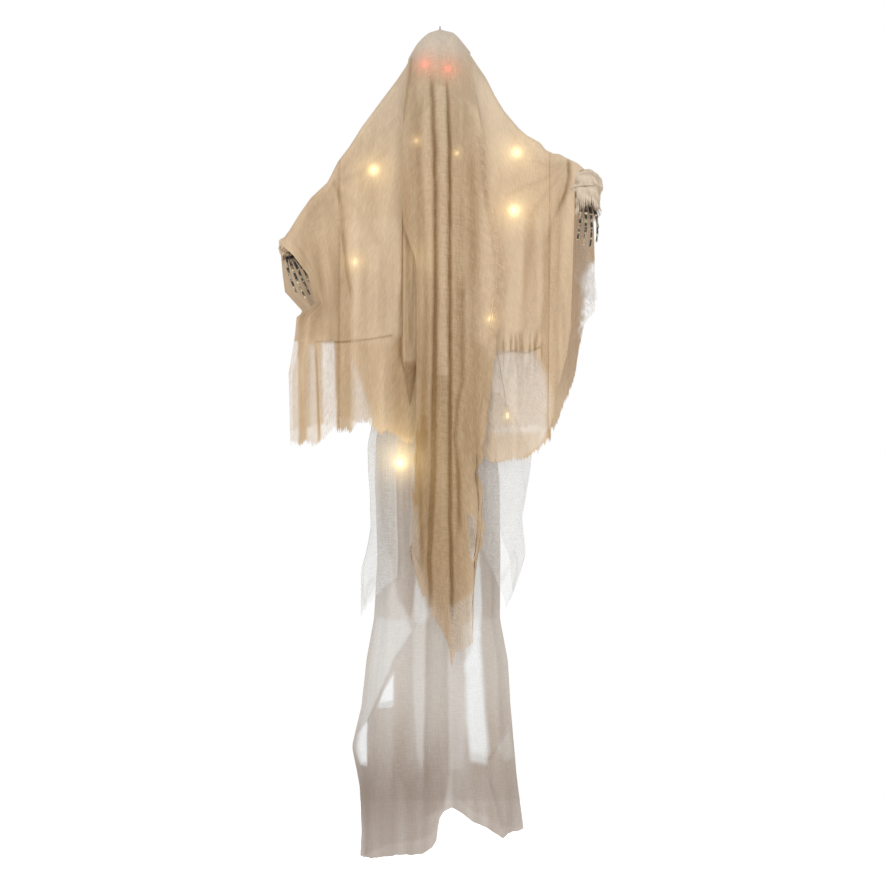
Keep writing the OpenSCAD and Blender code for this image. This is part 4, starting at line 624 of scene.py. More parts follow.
def capeMarks(points, w, d, side, hemGap, fadeW):
    # painted shade in the folds, darker in the middle and low down, lighter on the right, paler at the top,
    # and frayed near the hem
    x, z = points[..., 0], points[..., 2]
    f = foldAt(w, z, d, side) / folds["depth"]
    marks = {"shade": 0.21 - 0.1 * f + 0.06 * noise(w / 30, z / 200, 6) + 0.05 * noise(w / 12, z / 60, 7)
             + 0.12 * span(x, -130, 60, 60) + 0.12 * ease((-z - 450) / 400) - 0.15 * ease((x - 90) / 60),
             "cover": capeStyle["cover"] + 0 * x, "pale": 0.25 * ease((z + 420) / 260) + 0 * x}
    if side > 0:
        paint(x, z, capeStyle, marks)
        # painted shade in the gathers under the right seam
        pucker = span(x, 114, 258, 14) * span(z, -890, -796, 40)
        pucker = pucker * np.clip(noise(x / 6, z / 70, 12) * 1.7, -.5, 1)
        marks["shade"] = np.clip(marks["shade"] + 0.55 * pucker, 0, 1)
    else:
        # the back shows the same patches, fainter and softer
        patches = [(corners, .5 * darker, 1.25 * thinner, paler, 1.6 * soft)
                   for corners, darker, thinner, paler, soft in capeStyle["patches"]]
        paint(x, z, {"patches": patches}, marks)
        far = patch(x + 6 * noise(x / 9, z / 14, 92), z, capeStyle["whiteEnd"], 12)
        marks["cover"], marks["pale"] = marks["cover"] * (1 - .7 * far), np.clip(marks["pale"] + far, 0, 1)
    # painted light on the right sleeve's end, which its shaded inside would darken
    marks["shade"] = marks["shade"] - 0.18 * ease((x - 300) / 30)
    # the cape's side fades out over the sleeve that goes on under it
    marks["cover"] = marks["cover"] * (ease((fadeW - np.abs(w)) / 13) if fadeW else 1)
    edge = hemGap + 6 * noise(w / 26, 0 * z, 14) + 3 * noise(w / 7, 0 * z, 15)
    return {**marks, "warm": glow(points, "warm"), "red": glow(points, "red"), "edge": np.maximum(edge, 0)}


# A cape and a sleeve lap at the elbow. Near it each sinks towards the arm over its reach, a cape at its outer
# end and a sleeve at its inner one. Hems are shares of the height at shares of the way to the elbow.
inner = 5.4  # from the middle to a cape's inner side
columnsOver = 17  # a cape's columns in part.scad: a sleeve runs on under it for one of them or less
leftLap, rightLap = (leftElbowW - inner) / columnsOver * .6, (rightElbowW - inner) / columnsOver
overArm = {
    "leftCape": {"ends": (-leftElbowW, -inner), "outwards": 1, "sink": 2.0, "reach": 30,
                 "front": [[0, -.505], [.35, -.5], [.6, -.488], [.75, -.472], [.86, -.4895], [1, -.4895]],
                 "back": [[0, -.48], [.5, -.475], [1, -.475]]},
    "rightCape": {"ends": (inner, rightElbowW), "outwards": 1, "sink": 5.3, "reach": 45,
                  "front": [[0, -.526], [.45, -.525], [.7, -.523], [.87, -.512], [.93, -.5], [1, -.499]],
                  "back": [[0, -.49], [.8, -.485], [1, -.485]]},
    "leftSleeve": {"ends": (-leftEndW, -leftElbowW + leftLap), "outwards": -1, "sink": 2.8, "reach": 30,
                   "front": [[.8, -.4895], [1, -.4895], [1.08, -.491], [1.26, -.505], [1.45, -.503],
                             [1.7, -.5]],
                   "back": [[.8, -.475], [1, -.475], [1.7, -.495]]},
    "rightSleeve": {"ends": (rightElbowW - rightLap, rightEndW), "outwards": -1, "sink": 6.2, "reach": 40,
                    "front": [[.93, -.5], [1, -.499], [1.22, -.478], [1.45, -.425], [1.55, -.4],
                              [1.66, -.36]],
                    "back": [[.8, -.485], [1, -.485], [1.1, -.45], [1.22, -.42], [1.3, -.388], [1.45, -.36],
                             [1.66, -.343]]},
}


def overRidge(name, elbowW):
    # one cloth over the ridge: rows from the front hem up, over and down to the back hem, evenly spaced
    style = overArm[name]
    first, last = style["ends"]
    count = int(round((last - first) / capeStyle["column"])) + 1
    w = np.linspace(first, last, count)[:, None]
    sink = -style["sink"] * ease((style["outwards"] * (np.abs(w) - elbowW) + style["reach"]) / style["reach"])
    halves = []
    for side, hem in ((1, style["front"]), (-1, style["back"])):
        low = drop * look(hem, np.abs(w) / elbowW, 0.01)
        low = low + 4 * noise(w / 17, 0 * w, 21 if side > 0 else 22) + 2 * noise(w / 6, 0 * w, 23)
        r, total = nose(w), ridgeZ(w) - low
        run = np.linspace(0, 1, capeStyle["rows"])[None, :] * (total - r + r * np.pi / 2)
        d = fallen(run, r)
        points = drape(w + 0 * d, d, side, sink + 0 * d)
        if side > 0:  # the gathers under the right seam
            x, z = points[..., 0], points[..., 2]
            points[..., 1] -= 3.2 * span(x, 120, 254, 14) * span(z, -880, -806, 26) * noise(x / 8, z / 60, 12)
        fadeW = elbowW if style["outwards"] > 0 else 0
        halves.append((points, run * side, capeMarks(points, w + 0 * d, d, side, total - d, fadeW)))
    points, v, marks = joinHalves(*halves)
    return clothPiece(name, points, w + 0 * v, v, marks, tanGauze)


leftCape, rightCape = overRidge("leftCape", leftElbowW), overRidge("rightCape", rightElbowW)
leftSleeve, rightSleeve = overRidge("leftSleeve", leftElbowW), overRidge("rightSleeve", rightElbowW)

# each cape and sleeve has its place set into its mesh
for side, cape, sleeve in (("left", leftCape, leftSleeve), ("right", rightCape, rightSleeve)):
    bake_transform(cape)
    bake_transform(sleeve)
for piece, node in ((leftCape, "left_cape"), (rightCape, "right_cape"), (leftSleeve, "left_sleeve"),
                    (rightSleeve, "right_sleeve")):
    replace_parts(piece, node)
print("capes and sleeves draped")

veilStyle = {
    "lift": 6, "fold": 15, "columns": 75, "rows": 420, "cover": 0.93, "half": 105,
    "left": [[.002, .036], [.033, .037], [.087, .044], [.24, .0445], [.285, .028], [.486, .028], [.592, .036],
             [.635, .039], [.663, .029], [.8, .026]],
    "right": [[.002, .036], [.06, .037], [.142, .053], [.194, .059], [.254, .072], [.292, .079], [.53, .048],
              [.574, .055], [.607, .059], [.64, .046], [.8, .046]],
    "u": [-1, -.95, -.91, -.88, -.62, -.295, .13, .234, .286, .363, .647, .845, .87, 1],
    "hem": [-.6, -.611, -.644, -.668, -.687, -.711, -.73, -.745, -.774, -.758, -.746, -.733, -.64, -.612],
    "backHem": [-.6, -.61, -.62, -.64, -.66, -.68, -.7, -.69, -.67, -.66, -.65, -.63, -.61, -.6],
    # folds: route, width left, width right, how deep, how dark their painted shade is
    "pleats": [([(-23, -140), (-15, -329), (-12, -709), (-18, -963), (-20, -1140), (-30, -1368),
                 (-25, -1500)], 2.6, 9, 1, .62),
               ([(17, -150), (23, -304), (24, -709), (24, -1216), (27, -1368), (30, -1520)],
                2.2, 4.5, 1, .72),
               ([(57, -650), (56, -912), (43, -976), (36, -1064), (44, -1140), (50, -1300)], 3, 7, .7, .3),
               ([(-51, -190), (-53, -329), (-40, -557), (-35, -785), (-40, -1100)], 12, 8, .35, .22),
               ([(82, -330), (86, -532), (92, -709), (88, -1000), (92, -1200)], 10, 16, .3, .16),
               ([(-60, -1040), (-50, -1200), (-44, -1400)], 8, 5, .4, .2)],
    "backPleats": [([(-24, -150), (-20, -600), (-26, -1350)], 5, 9, .8, .4),
                   ([(18, -170), (22, -700), (14, -1380)], 5, 9, .8, .4),
                   ([(52, -400), (60, -800), (50, -1200)], 7, 9, .5, .3),
                   ([(-58, -200), (-60, -700), (-52, -1100)], 8, 10, .4, .3)],
    "patches": [
        ([(71, -1250), (90, -1262), (92, -1318), (84, -1372), (76, -1350), (72, -1300)], -.25, .6, .4, 4),
        ([(-80, -1039), (-28, -1039), (-20, -1166), (-34, -1292), (-44, -1406), (-80, -1330), (-75, -1242)],
         .1, .03, 0, 8),
        ([(-74, -1240), (-56, -1230), (-52, -1360), (-62, -1400), (-74, -1340)], -.12, .16, .12, 5),
        ([(26, -1490), (90, -1450), (90, -1566), (56, -1616), (31, -1660)], -.2, .34, .2, 12),
        ([(-80, -1250), (-60, -1250), (-40, -1430), (10, -1520), (10, -1570), (-80, -1420)],
         -.06, .16, .05, 8),
        ([(72, -200), (98, -330), (100, -560), (92, -800), (130, -850), (190, -700), (185, -560), (160, -400),
          (110, -240)],
         -.3, 0, .04, 16),
        ([(-13, -160), (16, -165), (22, -400), (22, -900), (-10, -900), (-10, -400)], -.18, 0, 0, 4),
        ([(-52, -240), (-27, -220), (-18, -700), (-30, -1000), (-52, -1000), (-50, -600)], -.1, 0, 0, 5),
    ],
    "strokes": [([(-73, -91), (-84, -177), (-96, -253), (-106, -329), (-111, -405), (-116, -560)], 4, .34),
                ([(-9, -40), (3, -46), (9, -54)], 4, .2), ([(84, -240), (100, -340), (122, -470)], 9, .12)],
}


def veilSide(side, u, hemShares):
    # one curtain: columns at shares u of a width that a table gives down the veil, over the ridge as a cape
    # is, with its pleats pressed in along their routes
    def edge(z):
        left, right = (look(veilStyle[k], -z / drop, .008) for k in ("left", "right"))
        return u * drop * np.where(u < 0, left, right)

    low = drop * np.interp(u, veilStyle["u"], hemShares)
    low = low + 7 * noise(u * 14, 0 * u, 41) + 9 * noise(u * 5, 0 * u, 42)
    x0 = edge(figure["crownZ"] + 0 * u)
    r, total = nose(x0), ridgeZ(x0) - low
    run = np.linspace(0, 1, veilStyle["rows"])[None, :] * (total - r + r * np.pi / 2)
    down = fallen(run, r)
    z = ridgeZ(x0) - down
    ragged = ease((-z - 900) / 300)
    x = edge(z) * (1 + ragged * 0.06 * noise(z / 30, 3 + 0 * z, 43) * np.abs(u) ** 4)
    top = ridgeZ(x)
    d = np.maximum(top - z, 0)
    valley, dark = 0 * x, 0 * x
    for route, left, right, deep, darker in veilStyle["pleats" if side > 0 else "backPleats"]:
        valley = np.maximum(valley, deep * crease(x, z, route, left + 2.5, right + 1))
        dark = dark + darker * crease(x, z, route, left, right)
    crest = (0.68 + 0.2 * noise(x / 26, z / 330, 33) - 0.62 * valley) * (1 if side > 0 else 0.6)
    small = 0.55 * crumple(x, z, side) * ease(d / 200) + 0.9 * noise(x / 8, z / 60, 34) * ease(d / 200)
    lift = veilStyle["lift"] + veilStyle["fold"] * crest * ease(d / folds["reach"])
    out, up = hang(x, d, lift + small * ease((np.abs(x) + 40) / 80))
    points = np.stack([x, plan(x)[1] - side * out, top - d + up], -1)
    # painted shade in the pleats, darker low down, paler at the crown, thin where the right cape takes over
    marks = {"shade": 0.5 + dark + 0.08 * noise(x / 9, z / 240, 35) + 0.08 * noise(x / 22, z / 150, 36)
             + 0.16 * ease((-z - 560) / 500) - 0.16 * ease((z + 100) / 60) - 0.1 * ease((x - 40) / 40)
             + 0.06 * ease((-x - 20) / 30),
             "cover": ((veilStyle["cover"] - 0.1 * ease((-z - 1380) / 250))
                       * (1 - .85 * ease((u - .78) / .2) * span(z, -800, -280, 120))),
             "pale": 0.5 * ease((z + 130) / 90) + 0.12 * ease((z + 420) / 260)}
    paint(x, z, veilStyle if side > 0 else {}, marks)
    gap = np.minimum(total - down, (1 - np.abs(u)) * drop * 0.05 + 60 * (1 - ragged))
    gap = gap + ragged * (5 * noise(x / 12, z / 16, 37) + 4 * noise(x / 5, z / 40, 38))
    light = {"warm": glow(points, "warm") * 0.9, "red": glow(points, "red")}
    return points, run * side, {**marks, **light, "edge": np.maximum(gap, 0)}


def makeVeil():
    # two curtains of one cloth that meet over the crown, with a small hole there for the hanging rod
    u = np.linspace(-1, 1, veilStyle["columns"])[:, None]
    points, v, marks = joinHalves(veilSide(1, u, veilStyle["hem"]), veilSide(-1, u, veilStyle["backHem"]))
    hole = lambda c: (np.abs(c[:, 0]) < 5) & (np.abs(c[:, 1]) < 4.5) & (c[:, 2] > -40)
    return clothPiece("veilCloth", points, u * veilStyle["half"] + 0 * v, v, marks, tanGauze, "frame",
                      skip=hole)


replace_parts(makeVeil(), "veil")
print("veil draped")

robeStyle = {
    "top": -330, "half": 225, "fold": 15, "count": 8, "lift": 4.0, "columns": 290, "rows": 340, "cover": 0.72,
    "girth": 1130,
    "left": [[0, .3556], [.2, .49], [.41, .73], [.463, .74], [.57, .71], [.66, .75], [.72, .84], [.786, .893],
             [.843, 1], [.9, .907], [.963, .885], [1, .9]],
    "right": [[0, .3556], [.2, .53], [.41, .62], [.463, .667], [.57, .68], [.66, .676], [.72, .77],
              [.786, .805], [.843, .85], [.9, .893], [.963, .951], [1, .96]],
    "deep": [[0, .3556], [.2, .37], [.41, .375], [.5, .4], [.66, .42], [.8, .45], [1, .55]],
    "hem": [[-1, 1], [-.8, .996], [-.56, .991], [-.24, .989], [-.1, .981], [-.04, .972], [-.012, .948],
            [.05, .938], [.14, .933], [.28, .941], [.42, .952], [.6, .96], [.7, .968], [.74, .973],
            [.83, .968], [1, .966]],
    "patches": [
        ([(-163, -1523), (-87, -1523), (-71, -1553), (-117, -1624), (-183, -1777), (-214, -1838),
          (-230, -1800)], -.1, .08, .3, 2),
        ([(-120, -1665), (-120, -1744), (-160, -1748), (-140, -1700)], -.3, .4, 1, 3),
        ([(-188, -1790), (-188, -1900), (-206, -1900), (-232, -1850)], -.3, .4, 1, 3),
        ([(-69, -1553), (-36, -1497), (-38, -1726), (-43, -1900), (-58, -1870), (-69, -1726)],
         -.12, .03, .16, 3),
        ([(-36, -1480), (20, -1480), (22, -1700), (26, -1900), (10, -2000), (-41, -2020), (-41, -1726)],
         .14, -.06, -.1, 5),
        ([(20, -1600), (56, -1600), (66, -1767), (60, -1900), (23, -1900)], -.06, .06, .1, 8),
        ([(66, -1640), (97, -1560), (106, -1640), (117, -1777), (125, -1860), (118, -1890), (80, -1880),
          (70, -1777)],
         -.3, .26, .85, 9),
        ([(60, -1540), (97, -1520), (104, -1640), (66, -1660)], -.2, .14, .5, 10),
        ([(102, -1472), (150, -1472), (168, -1624), (178, -1808), (145, -1849), (125, -1879), (112, -1726),
          (102, -1574)],
         .03, 0, 0, 2.5),
        ([(178, -1800), (186, -1838), (194, -1880), (165, -1890), (143, -1849)], -.1, .04, .2, 7),
        ([(74, -1340), (99, -1340), (108, -1480), (104, -1574), (78, -1574)], -.12, .16, .45, 3),
        ([(-61, -1413), (-41, -1472), (-27, -1510), (-41, -1530), (-66, -1530), (-66, -1472)],
         -.12, .08, .3, 5),
        ([(-150, -1350), (-120, -1365), (-102, -1472), (-84, -1515), (-160, -1525), (-160, -1472)],
         -.04, .03, .1, 7),
        ([(-168, -1064), (-64, -1064), (-74, -1217), (-79, -1332), (-61, -1413), (-74, -1523), (-109, -1472),
          (-125, -1370), (-143, -1319)], .1, -.1, -.2, 4),
        ([(104, -1100), (140, -1100), (150, -1349), (155, -1523), (110, -1523), (99, -1349)],
         .08, -.05, -.1, 3),
    ],
    "creases": [([(125, -1930), (138, -1981), (153, -2037), (166, -2068)], 3, 12, .2),
                ([(-41, -1640), (-41, -1800), (-44, -2000)], 2, 10, .12),
                ([(-120, -1744), (-118, -1850), (-124, -2000)], 2, 9, .1),
                ([(22, -1700), (20, -1880)], 9, 2, .1),
                ([(-88, -1140), (-96, -1250), (-90, -1380)], 6, 9, .1)],
    "strokes": [([(-71, -1553), (-117, -1624), (-183, -1777), (-214, -1838)], 3, .3),
                ([(-160, -1748), (-120, -1744)], 2.5, .2),
                ([(99, -1560), (104, -1624), (117, -1777), (125, -1879)], 2.5, .3),
                ([(178, -1808), (145, -1849), (125, -1879)], 3, .2)],
}


def robeRound(a, z, lift, flare=0):
    # an oval round the middle: x is a half width times the sine of the angle a, and y a depth times its
    # cosine, with the left, right and depth radii read from tables down the robe
    s = (robeStyle["top"] - z) / (drop + robeStyle["top"])
    side = np.sin(np.radians(a))
    left, right = (look(robeStyle[k], s, .006) for k in ("left", "right"))
    half = np.where(side < 0, left, right) * robeStyle["half"]
    deep = robeStyle["half"] * look(robeStyle["deep"], s, .01)
    return np.stack([(half + lift + flare) * side, -(deep + lift) * np.cos(np.radians(a)), z], -1)


def makeRobe():
    # the oval carried down to the hem, its folds a cosine whose phase wanders with height
    n = robeStyle["columns"]
    a = (np.arange(n) * 360 / n)[:, None]
    across, deep = np.sin(np.radians(a)), np.cos(np.radians(a))
    hemZ = -drop * look(robeStyle["hem"], across, .008) + 1.6 * noise(across * 16, deep * 16, 56)
    t = np.linspace(0, 1, robeStyle["rows"])[None, :]
    z = robeStyle["top"] + (hemZ - robeStyle["top"]) * t
    phase = 110 * noise(across * 3 + 20, deep * 3 + z / 600, 57)
    wave = 0.7 * np.cos(np.radians(robeStyle["count"] * a + phase))
    wave = wave + 0.3 * noise(across * 9 + 40, deep * 9 + z / 500, 59)
    s = (robeStyle["top"] - z) / (drop + robeStyle["top"])
    sink = robeStyle["fold"] * ease(s / .3) * (1 - wave) / 2
    small = 1.1 * noise(across * 40, deep * 40 + z / 90, 58) * ease(s / .2)
    points = robeRound(a + 0 * z, z, robeStyle["lift"] - sink + small)
    x, low, front = points[..., 0], ease((-z - 1650) / 380), ease(deep * 3 + .5)
    # painted shade in the folds' hollows; greyer low down, the more so on the left, and thinner at the back
    grey = 0.5 - 0.12 * np.clip(x / 100, -1, 1)
    marks = {"shade": 0.4 - 0.08 * wave + 0.06 * noise(x / 13, z / 420, 51)
             + 0.06 * noise(x / 45, z / 160, 52) + grey * low,
             "cover": robeStyle["cover"] - .14 * (1 - front) + 0.05 * noise(x / 19, z / 500, 53) + 0.14 * low,
             "pale": 0.18 + 0.15 * noise(x / 33, z / 300, 54) - 0.18 * low}
    paint(x, z, robeStyle, marks, front, ease(np.abs(deep) * 2.6))
    marks["cover"] = marks["cover"] * (1 - .6 * (1 - front) * (1 - ease((z - hemZ) / 170)))
    marks = {**marks, "edge": (z - hemZ) + 14, "warm": glow(points, "warm")}
    # columns run up, so that the faces look outwards
    u, v = a * robeStyle["girth"] / 360 + 0 * z, (z - robeStyle["top"])[:, ::-1]
    marks = {k: mark[:, ::-1] for k, mark in marks.items()}
    return clothPiece("robeCloth", points[:, ::-1], u, v, marks, whiteGauze, "frame", ring=True)


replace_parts(makeRobe(), "robe")

# The flaps are parts of the robe's oval that stand off it: their angles, how close they are seated at the
# top, and their hems and side flares in shares of the height and of the robe's half width.
flapStyle = {"left": {"span": (238, 322), "seat": 6.1, "hem": [.66, .69, .712, .7, .68, .66],
                      "flare": [[0, 0], [.25, .05], [.45, .02], [.62, .02], [.8, .14], [1, .1]]},
             "right": {"span": (30, 116), "seat": 2.1, "hem": [.6, .65, .7, .68, .64, .6],
                       "flare": [[0, .1], [.3, .38], [.45, .3], [.62, .22], [.8, .26], [1, .1]]},
             "off": 13, "cover": 0.34, "top": .44, "width": 190, "side": 160, "columns": 60, "rows": 120}


def makeFlap(side):
    # part of the oval, from a seat on the robe to its own distance, its flare widest half way along
    style = flapStyle[side]
    t = np.linspace(0, 1, flapStyle["columns"])[:, None]
    a = style["span"][0] + (style["span"][1] - style["span"][0]) * t
    top = -drop * flapStyle["top"]
    low = -drop * np.interp(t, np.linspace(0, 1, 6), style["hem"]) + 4 * noise(t * 20, 0 * t, 61)
    s = np.linspace(1, 0, flapStyle["rows"])[None, :]
    z = top + (low - top) * s
    out = style["seat"] + (flapStyle["off"] - style["seat"]) * ease(s * 7)
    sway = 2 * np.sin(t * 26 + 1.5 * noise(t * 3, s * 3, 62)) + 1.2 * noise(t * 14, s * 9, 63)
    flare = robeStyle["half"] * look(style["flare"], s, .02) * np.sin(np.pi * t)
    points = robeRound(a + 0 * z, z, out + sway * ease(s * 7), flare)
    lines = ease(np.abs(noise(t * 5 + s * 2.2, s * 2 - t * 3, 64)) * -14 + 1)  # thin bent crease lines
    inwards = np.minimum(t, 1 - t)
    edge = np.minimum(z - low, inwards * flapStyle["side"]) + 12
    rim = 1 - ease(inwards * 22)
    # painted shade on the crease lines, where the cloth is also less pale and more closely woven
    marks = {"shade": 0.22 + 0.2 * lines, "pale": 0.8 - .3 * lines, "edge": edge,
             "cover": flapStyle["cover"] + 0.08 * noise(t * 9, s * 3, 65) + .2 * lines + .2 * rim}
    u = t * flapStyle["width"] + 0 * z
    return clothPiece(side + "Flap", points, u, z - top, marks, whiteGauze, "frame")


for side in ("left", "right"):
    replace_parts(makeFlap(side), side + "_flap")

# The torn strip's places along the arm in shares of shoulderX, its top and its hem under the ridge in shares
# of the height, and where its darker tail starts.
stripStyle = {"along": (-1.03, -.8, -.62), "top": .225, "hem": (.404, .46, .407), "lift": 3.2, "tailZ": -868,
              "columns": 25, "rows": 110}


def makeStrip():
    # a narrow cloth over the left cape's front, shaded at its torn rims, its tail a single cloth
    places = np.arange(3)
    k = np.linspace(0, 2, stripStyle["columns"])[:, None]
    w = np.interp(k, places, stripStyle["along"]) * shoulderX
    top = ridgeZ(w) + drop * stripStyle["top"]
    low = ridgeZ(w) + drop * np.interp(k, places, stripStyle["hem"]) + 3 * noise(k * 4, 0 * k, 71)
    d = low + (top - low) * np.linspace(0, 1, stripStyle["rows"])[None, :]
    points = drape(w + 0 * d, d, 1, stripStyle["lift"] + 1.2 * noise(w / 8, d / 120, 72))
    z, tailZ = points[..., 2], stripStyle["tailZ"]
    tail = ease((tailZ - z) / 10)
    # painted shade on each rim, as the bell curve of a distance, and a painted highlight beside it
    rims = np.exp(-(k / .1) ** 2) + np.exp(-((2 - k) / .1) ** 2)
    rims = rims - .4 * np.exp(-((k - .3) / .12) ** 2) - .4 * np.exp(-((k - 1.75) / .12) ** 2)
    shade = 0.65 + 0.12 * noise(w / 6, z / 150, 73) + 0.26 * tail
    shade = shade + 0.5 * rims * (1 - tail) + 0.5 * np.exp(-((z - tailZ) / 2.5) ** 2)
    marks = {"shade": np.clip(shade, 0, 1), "cover": 0.97 - .25 * tail, "warm": glow(points, "warm"),
             "edge": np.maximum(low - d + 6 + 4 * noise(w / 4, 0 * d, 74), 0)}
    return clothPiece("tornStrip", points, w + 0 * d, -d, marks, tanGauze, "frame")


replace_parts(makeStrip(), "torn_strip")

# The lining's share of the forearm, its top and its hem under the ridge in shares of the height, how deep it
# is seated and tucked in behind the sleeve, and how far its free end flares.
liningStyle = {"along": .4, "top": .04, "hem": (.14, .155, .16, .15), "seat": 4.1, "tuck": 35.9, "flare": 24,
               "cover": 0.34, "pale": 0.75, "columns": 30, "rows": 70}


def makeLining():
    # a sheer cloth inside the right sleeve's free end, hung as the sleeve is, but further in
    k = np.linspace(0, 3, liningStyle["columns"])[:, None]
    w = rightEndW - rightFore * liningStyle["along"] * (1 - k / 3)
    s = np.linspace(1, 0, liningStyle["rows"])[None, :]
    length = np.interp(k, range(4), liningStyle["hem"]) - liningStyle["top"]
    d = drop * (liningStyle["top"] + length * s)
    out = nose(w) + (fallDepth(w) - nose(w)) * ease(d / folds["fallReach"]) - liningStyle["seat"]
    out = out - liningStyle["tuck"] * ease(2 * s) + 1.5 * np.sin(w / 7 + s * 2) * ease(2 * s)
    turn = sleeveTurn(w)
    px, py = plan(w)
    flare = liningStyle["flare"] * ease((s - .25) / .75) * k / 3
    points = np.stack([px + out * np.sin(turn) + flare, py + out * np.cos(turn), ridgeZ(w) - d], -1)
    edge = np.minimum(length * drop * (1 - s), (3 - k) * 30) + 8 + 4 * noise(k * 6, s * 12, 75)
    marks = {"shade": 0.2 + 0.1 * noise(k * 5, s * 4, 76), "edge": edge,
             "cover": liningStyle["cover"] + 0 * d, "pale": liningStyle["pale"] + 0 * d}
    marks = {key: mark[:, ::-1] for key, mark in marks.items()}
    return clothPiece("rightLining", points[:, ::-1], w + 0 * d, -d[:, ::-1],
                      marks, whiteGauze, "right_forearm")


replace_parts(makeLining(), "right_lining")
print("robe, panels, strip and lining made")


def smoothRoute(points, steps=8):
    # Catmull-Rom: each span leaves and meets its points along the line between their neighbours
    p = np.array(points, float)
    p = np.vstack([p[:1], p, p[-1:]])
    t = np.linspace(0, 1, steps, endpoint=False)[:, None]
    spans = []
    for a, b, c, d in zip(p[:-3], p[1:-2], p[2:-1], p[3:]):
        spans.append(0.5 * (2 * b + (c - a) * t + (2 * a - 5 * b + 4 * c - d) * t ** 2
                            + (3 * b - a - 3 * c + d) * t ** 3))
    return np.vstack([*spans, p[-1:]])


def sweep(path, radii, sides, flat=1.0, side=(0, 1, 0.001)):
    # rings of the given radii across the path, turned with it, and flattened across side
    along = np.gradient(path, axis=0)
    along /= np.linalg.norm(along, axis=1)[:, None]
    across = np.cross(along, side)
    across /= np.linalg.norm(across, axis=1)[:, None]
    up = np.cross(along, across)
    a = np.linspace(0, 2 * np.pi, sides, endpoint=False)
    ring = np.cos(a)[None, :, None] * across[:, None] + flat * np.sin(a)[None, :, None] * up[:, None]
    radii = np.asarray(radii)
    return path[:, None] + ring * (radii if radii.ndim == 2 else radii[:, None])[..., None]


# how each arm is turned at its shoulder, elbow and wrist in the photograph's pose
arm = {"left": {"heading": 205, "dip": 42.5, "roll": 0, "bend": 9.5,
                "wristRoll": 32.5, "wristBend": 55.5, "twist": 62},
       "right": {"heading": -22, "dip": 32, "roll": -90, "bend": 44,
                 "wristRoll": 105.7, "wristBend": 43.2, "twist": 0}}
cuffStyle = {
    # how far it starts before the wrist and ends after it, and its radius along that way
    "left": {"before": 10, "after": 31, "flat": .75, "pale": .15,
             "across": [[0, 12], [.2, 22], [.6, 24], [.85, 23], [1, 25]]},
    "right": {"before": 46, "after": 80, "flat": .9, "pale": .42,
              "across": [[0, 8], [.08, 30], [.25, 43], [.5, 43], [.75, 34], [.9, 30], [1, 34]]},
    "sides": 84, "spanSteps": 15, "girth": 20, "length": 90, "bend": (-12, 14), "cover": .96,
}


def makeCuff(side):
    # a gathered tube from the forearm's end round the palm: rings along a bend through the wrist, whose
    # radius swells in the middle, with slanting wrinkles and a frayed mouth
    t, style = arm[side], cuffStyle[side]
    fore = turned("z", t["heading"]) @ turned("y", t["dip"]) @ turned("x", t["roll"]) @ turned("y", t["bend"])
    hand = fore @ turned("x", t["wristRoll"]) @ turned("y", t["wristBend"]) @ turned("x", t["twist"])
    at = joint[side + "Wrist"]
    path = smoothRoute([at - style["before"] * fore[:, 0], at - 2 * fore[:, 0], at + 18 * hand[:, 0],
                        at + style["after"] * hand[:, 0]], cuffStyle["spanSteps"])
    s = np.linspace(0, 1, len(path))[:, None]
    a = np.linspace(0, 2 * np.pi, cuffStyle["sides"], endpoint=False)[None, :]
    across, up = np.cos(a), np.sin(a)
    wrinkle = 1.5 * np.sin(5 * a + s * 12) + 1.5 * np.sin(s * 46 + 4 * up)
    wrinkle = wrinkle + 2.4 * noise(across * 5 + 7, up * 5 + s * 16, 82)
    wrinkle = wrinkle + 1.6 * noise(across * 11 + 3, up * 11 + s * 30, 84)
    radius = look(style["across"], s, .05) + wrinkle * ease(s * 8)
    points = sweep(path, radius, cuffStyle["sides"], style["flat"], tuple(hand[:, 1]))
    points = points + (3 * noise(across * 4 + 9, up * 4, 81) * s ** 4)[..., None] * hand[:, 0]
    # painted shade in the hollows of the wrinkles, and lighter on their crests
    marks = {"shade": np.clip(.3 - .2 * wrinkle, 0, 1), "cover": cuffStyle["cover"] + 0 * s * a,
             "pale": style["pale"] + 0 * s * a, "edge": (1 - s) * 60 + 6 * noise(across * 9, up * 9, 83)}
    u, v = (a * cuffStyle["girth"] + 0 * s).T, (s * cuffStyle["length"] + 0 * a).T
    marks = {k: mark.T for k, mark in marks.items()}
    piece = clothPiece(side + "Cuff", np.swapaxes(points, 0, 1), u, v, marks, tanGauze, ring=True)
    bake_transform(piece)
    return piece


for side in ("left", "right"):
    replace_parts(makeCuff(side), side + "_cuff")
print("cuffs made")

# each light string's route from the battery case, and which of its points carry a lamp
strings = {
    "left": {"route": [(-28, 24, -443), (-40, 20, -440), (-56, 0, -405), (-60, -20, -360), (-58, -40, -318),
                       (-62, -66, -289), (-90, -48, -300), (-130, -48, -345), (-170, -52, -374),
                       (-190, -62, -430), (-205, -78, -520), (-216, -92, -612)],
             "lamps": (5, 8, 11)},
    "right": {"route": [(28, 24, -443), (40, 20, -440), (48, 0, -410), (30, -34, -360), (30, -56, -318),
                        (44, -74, -323), (90, -48, -312), (140, -42, -316), (196, -50, -330),
                        (204, -62, -400), (190, -72, -480), (170, -80, -570), (148, -82, -660),
                        (132, -76, -751), (146, -90, -840), (162, -84, -930), (172, -78, -1002)],
              "lamps": (5, 8, 10, 13, 16)},
    "wireR": 1.2, "wireSides": 12, "lampSides": 20, "lampForward": 6.1,
}


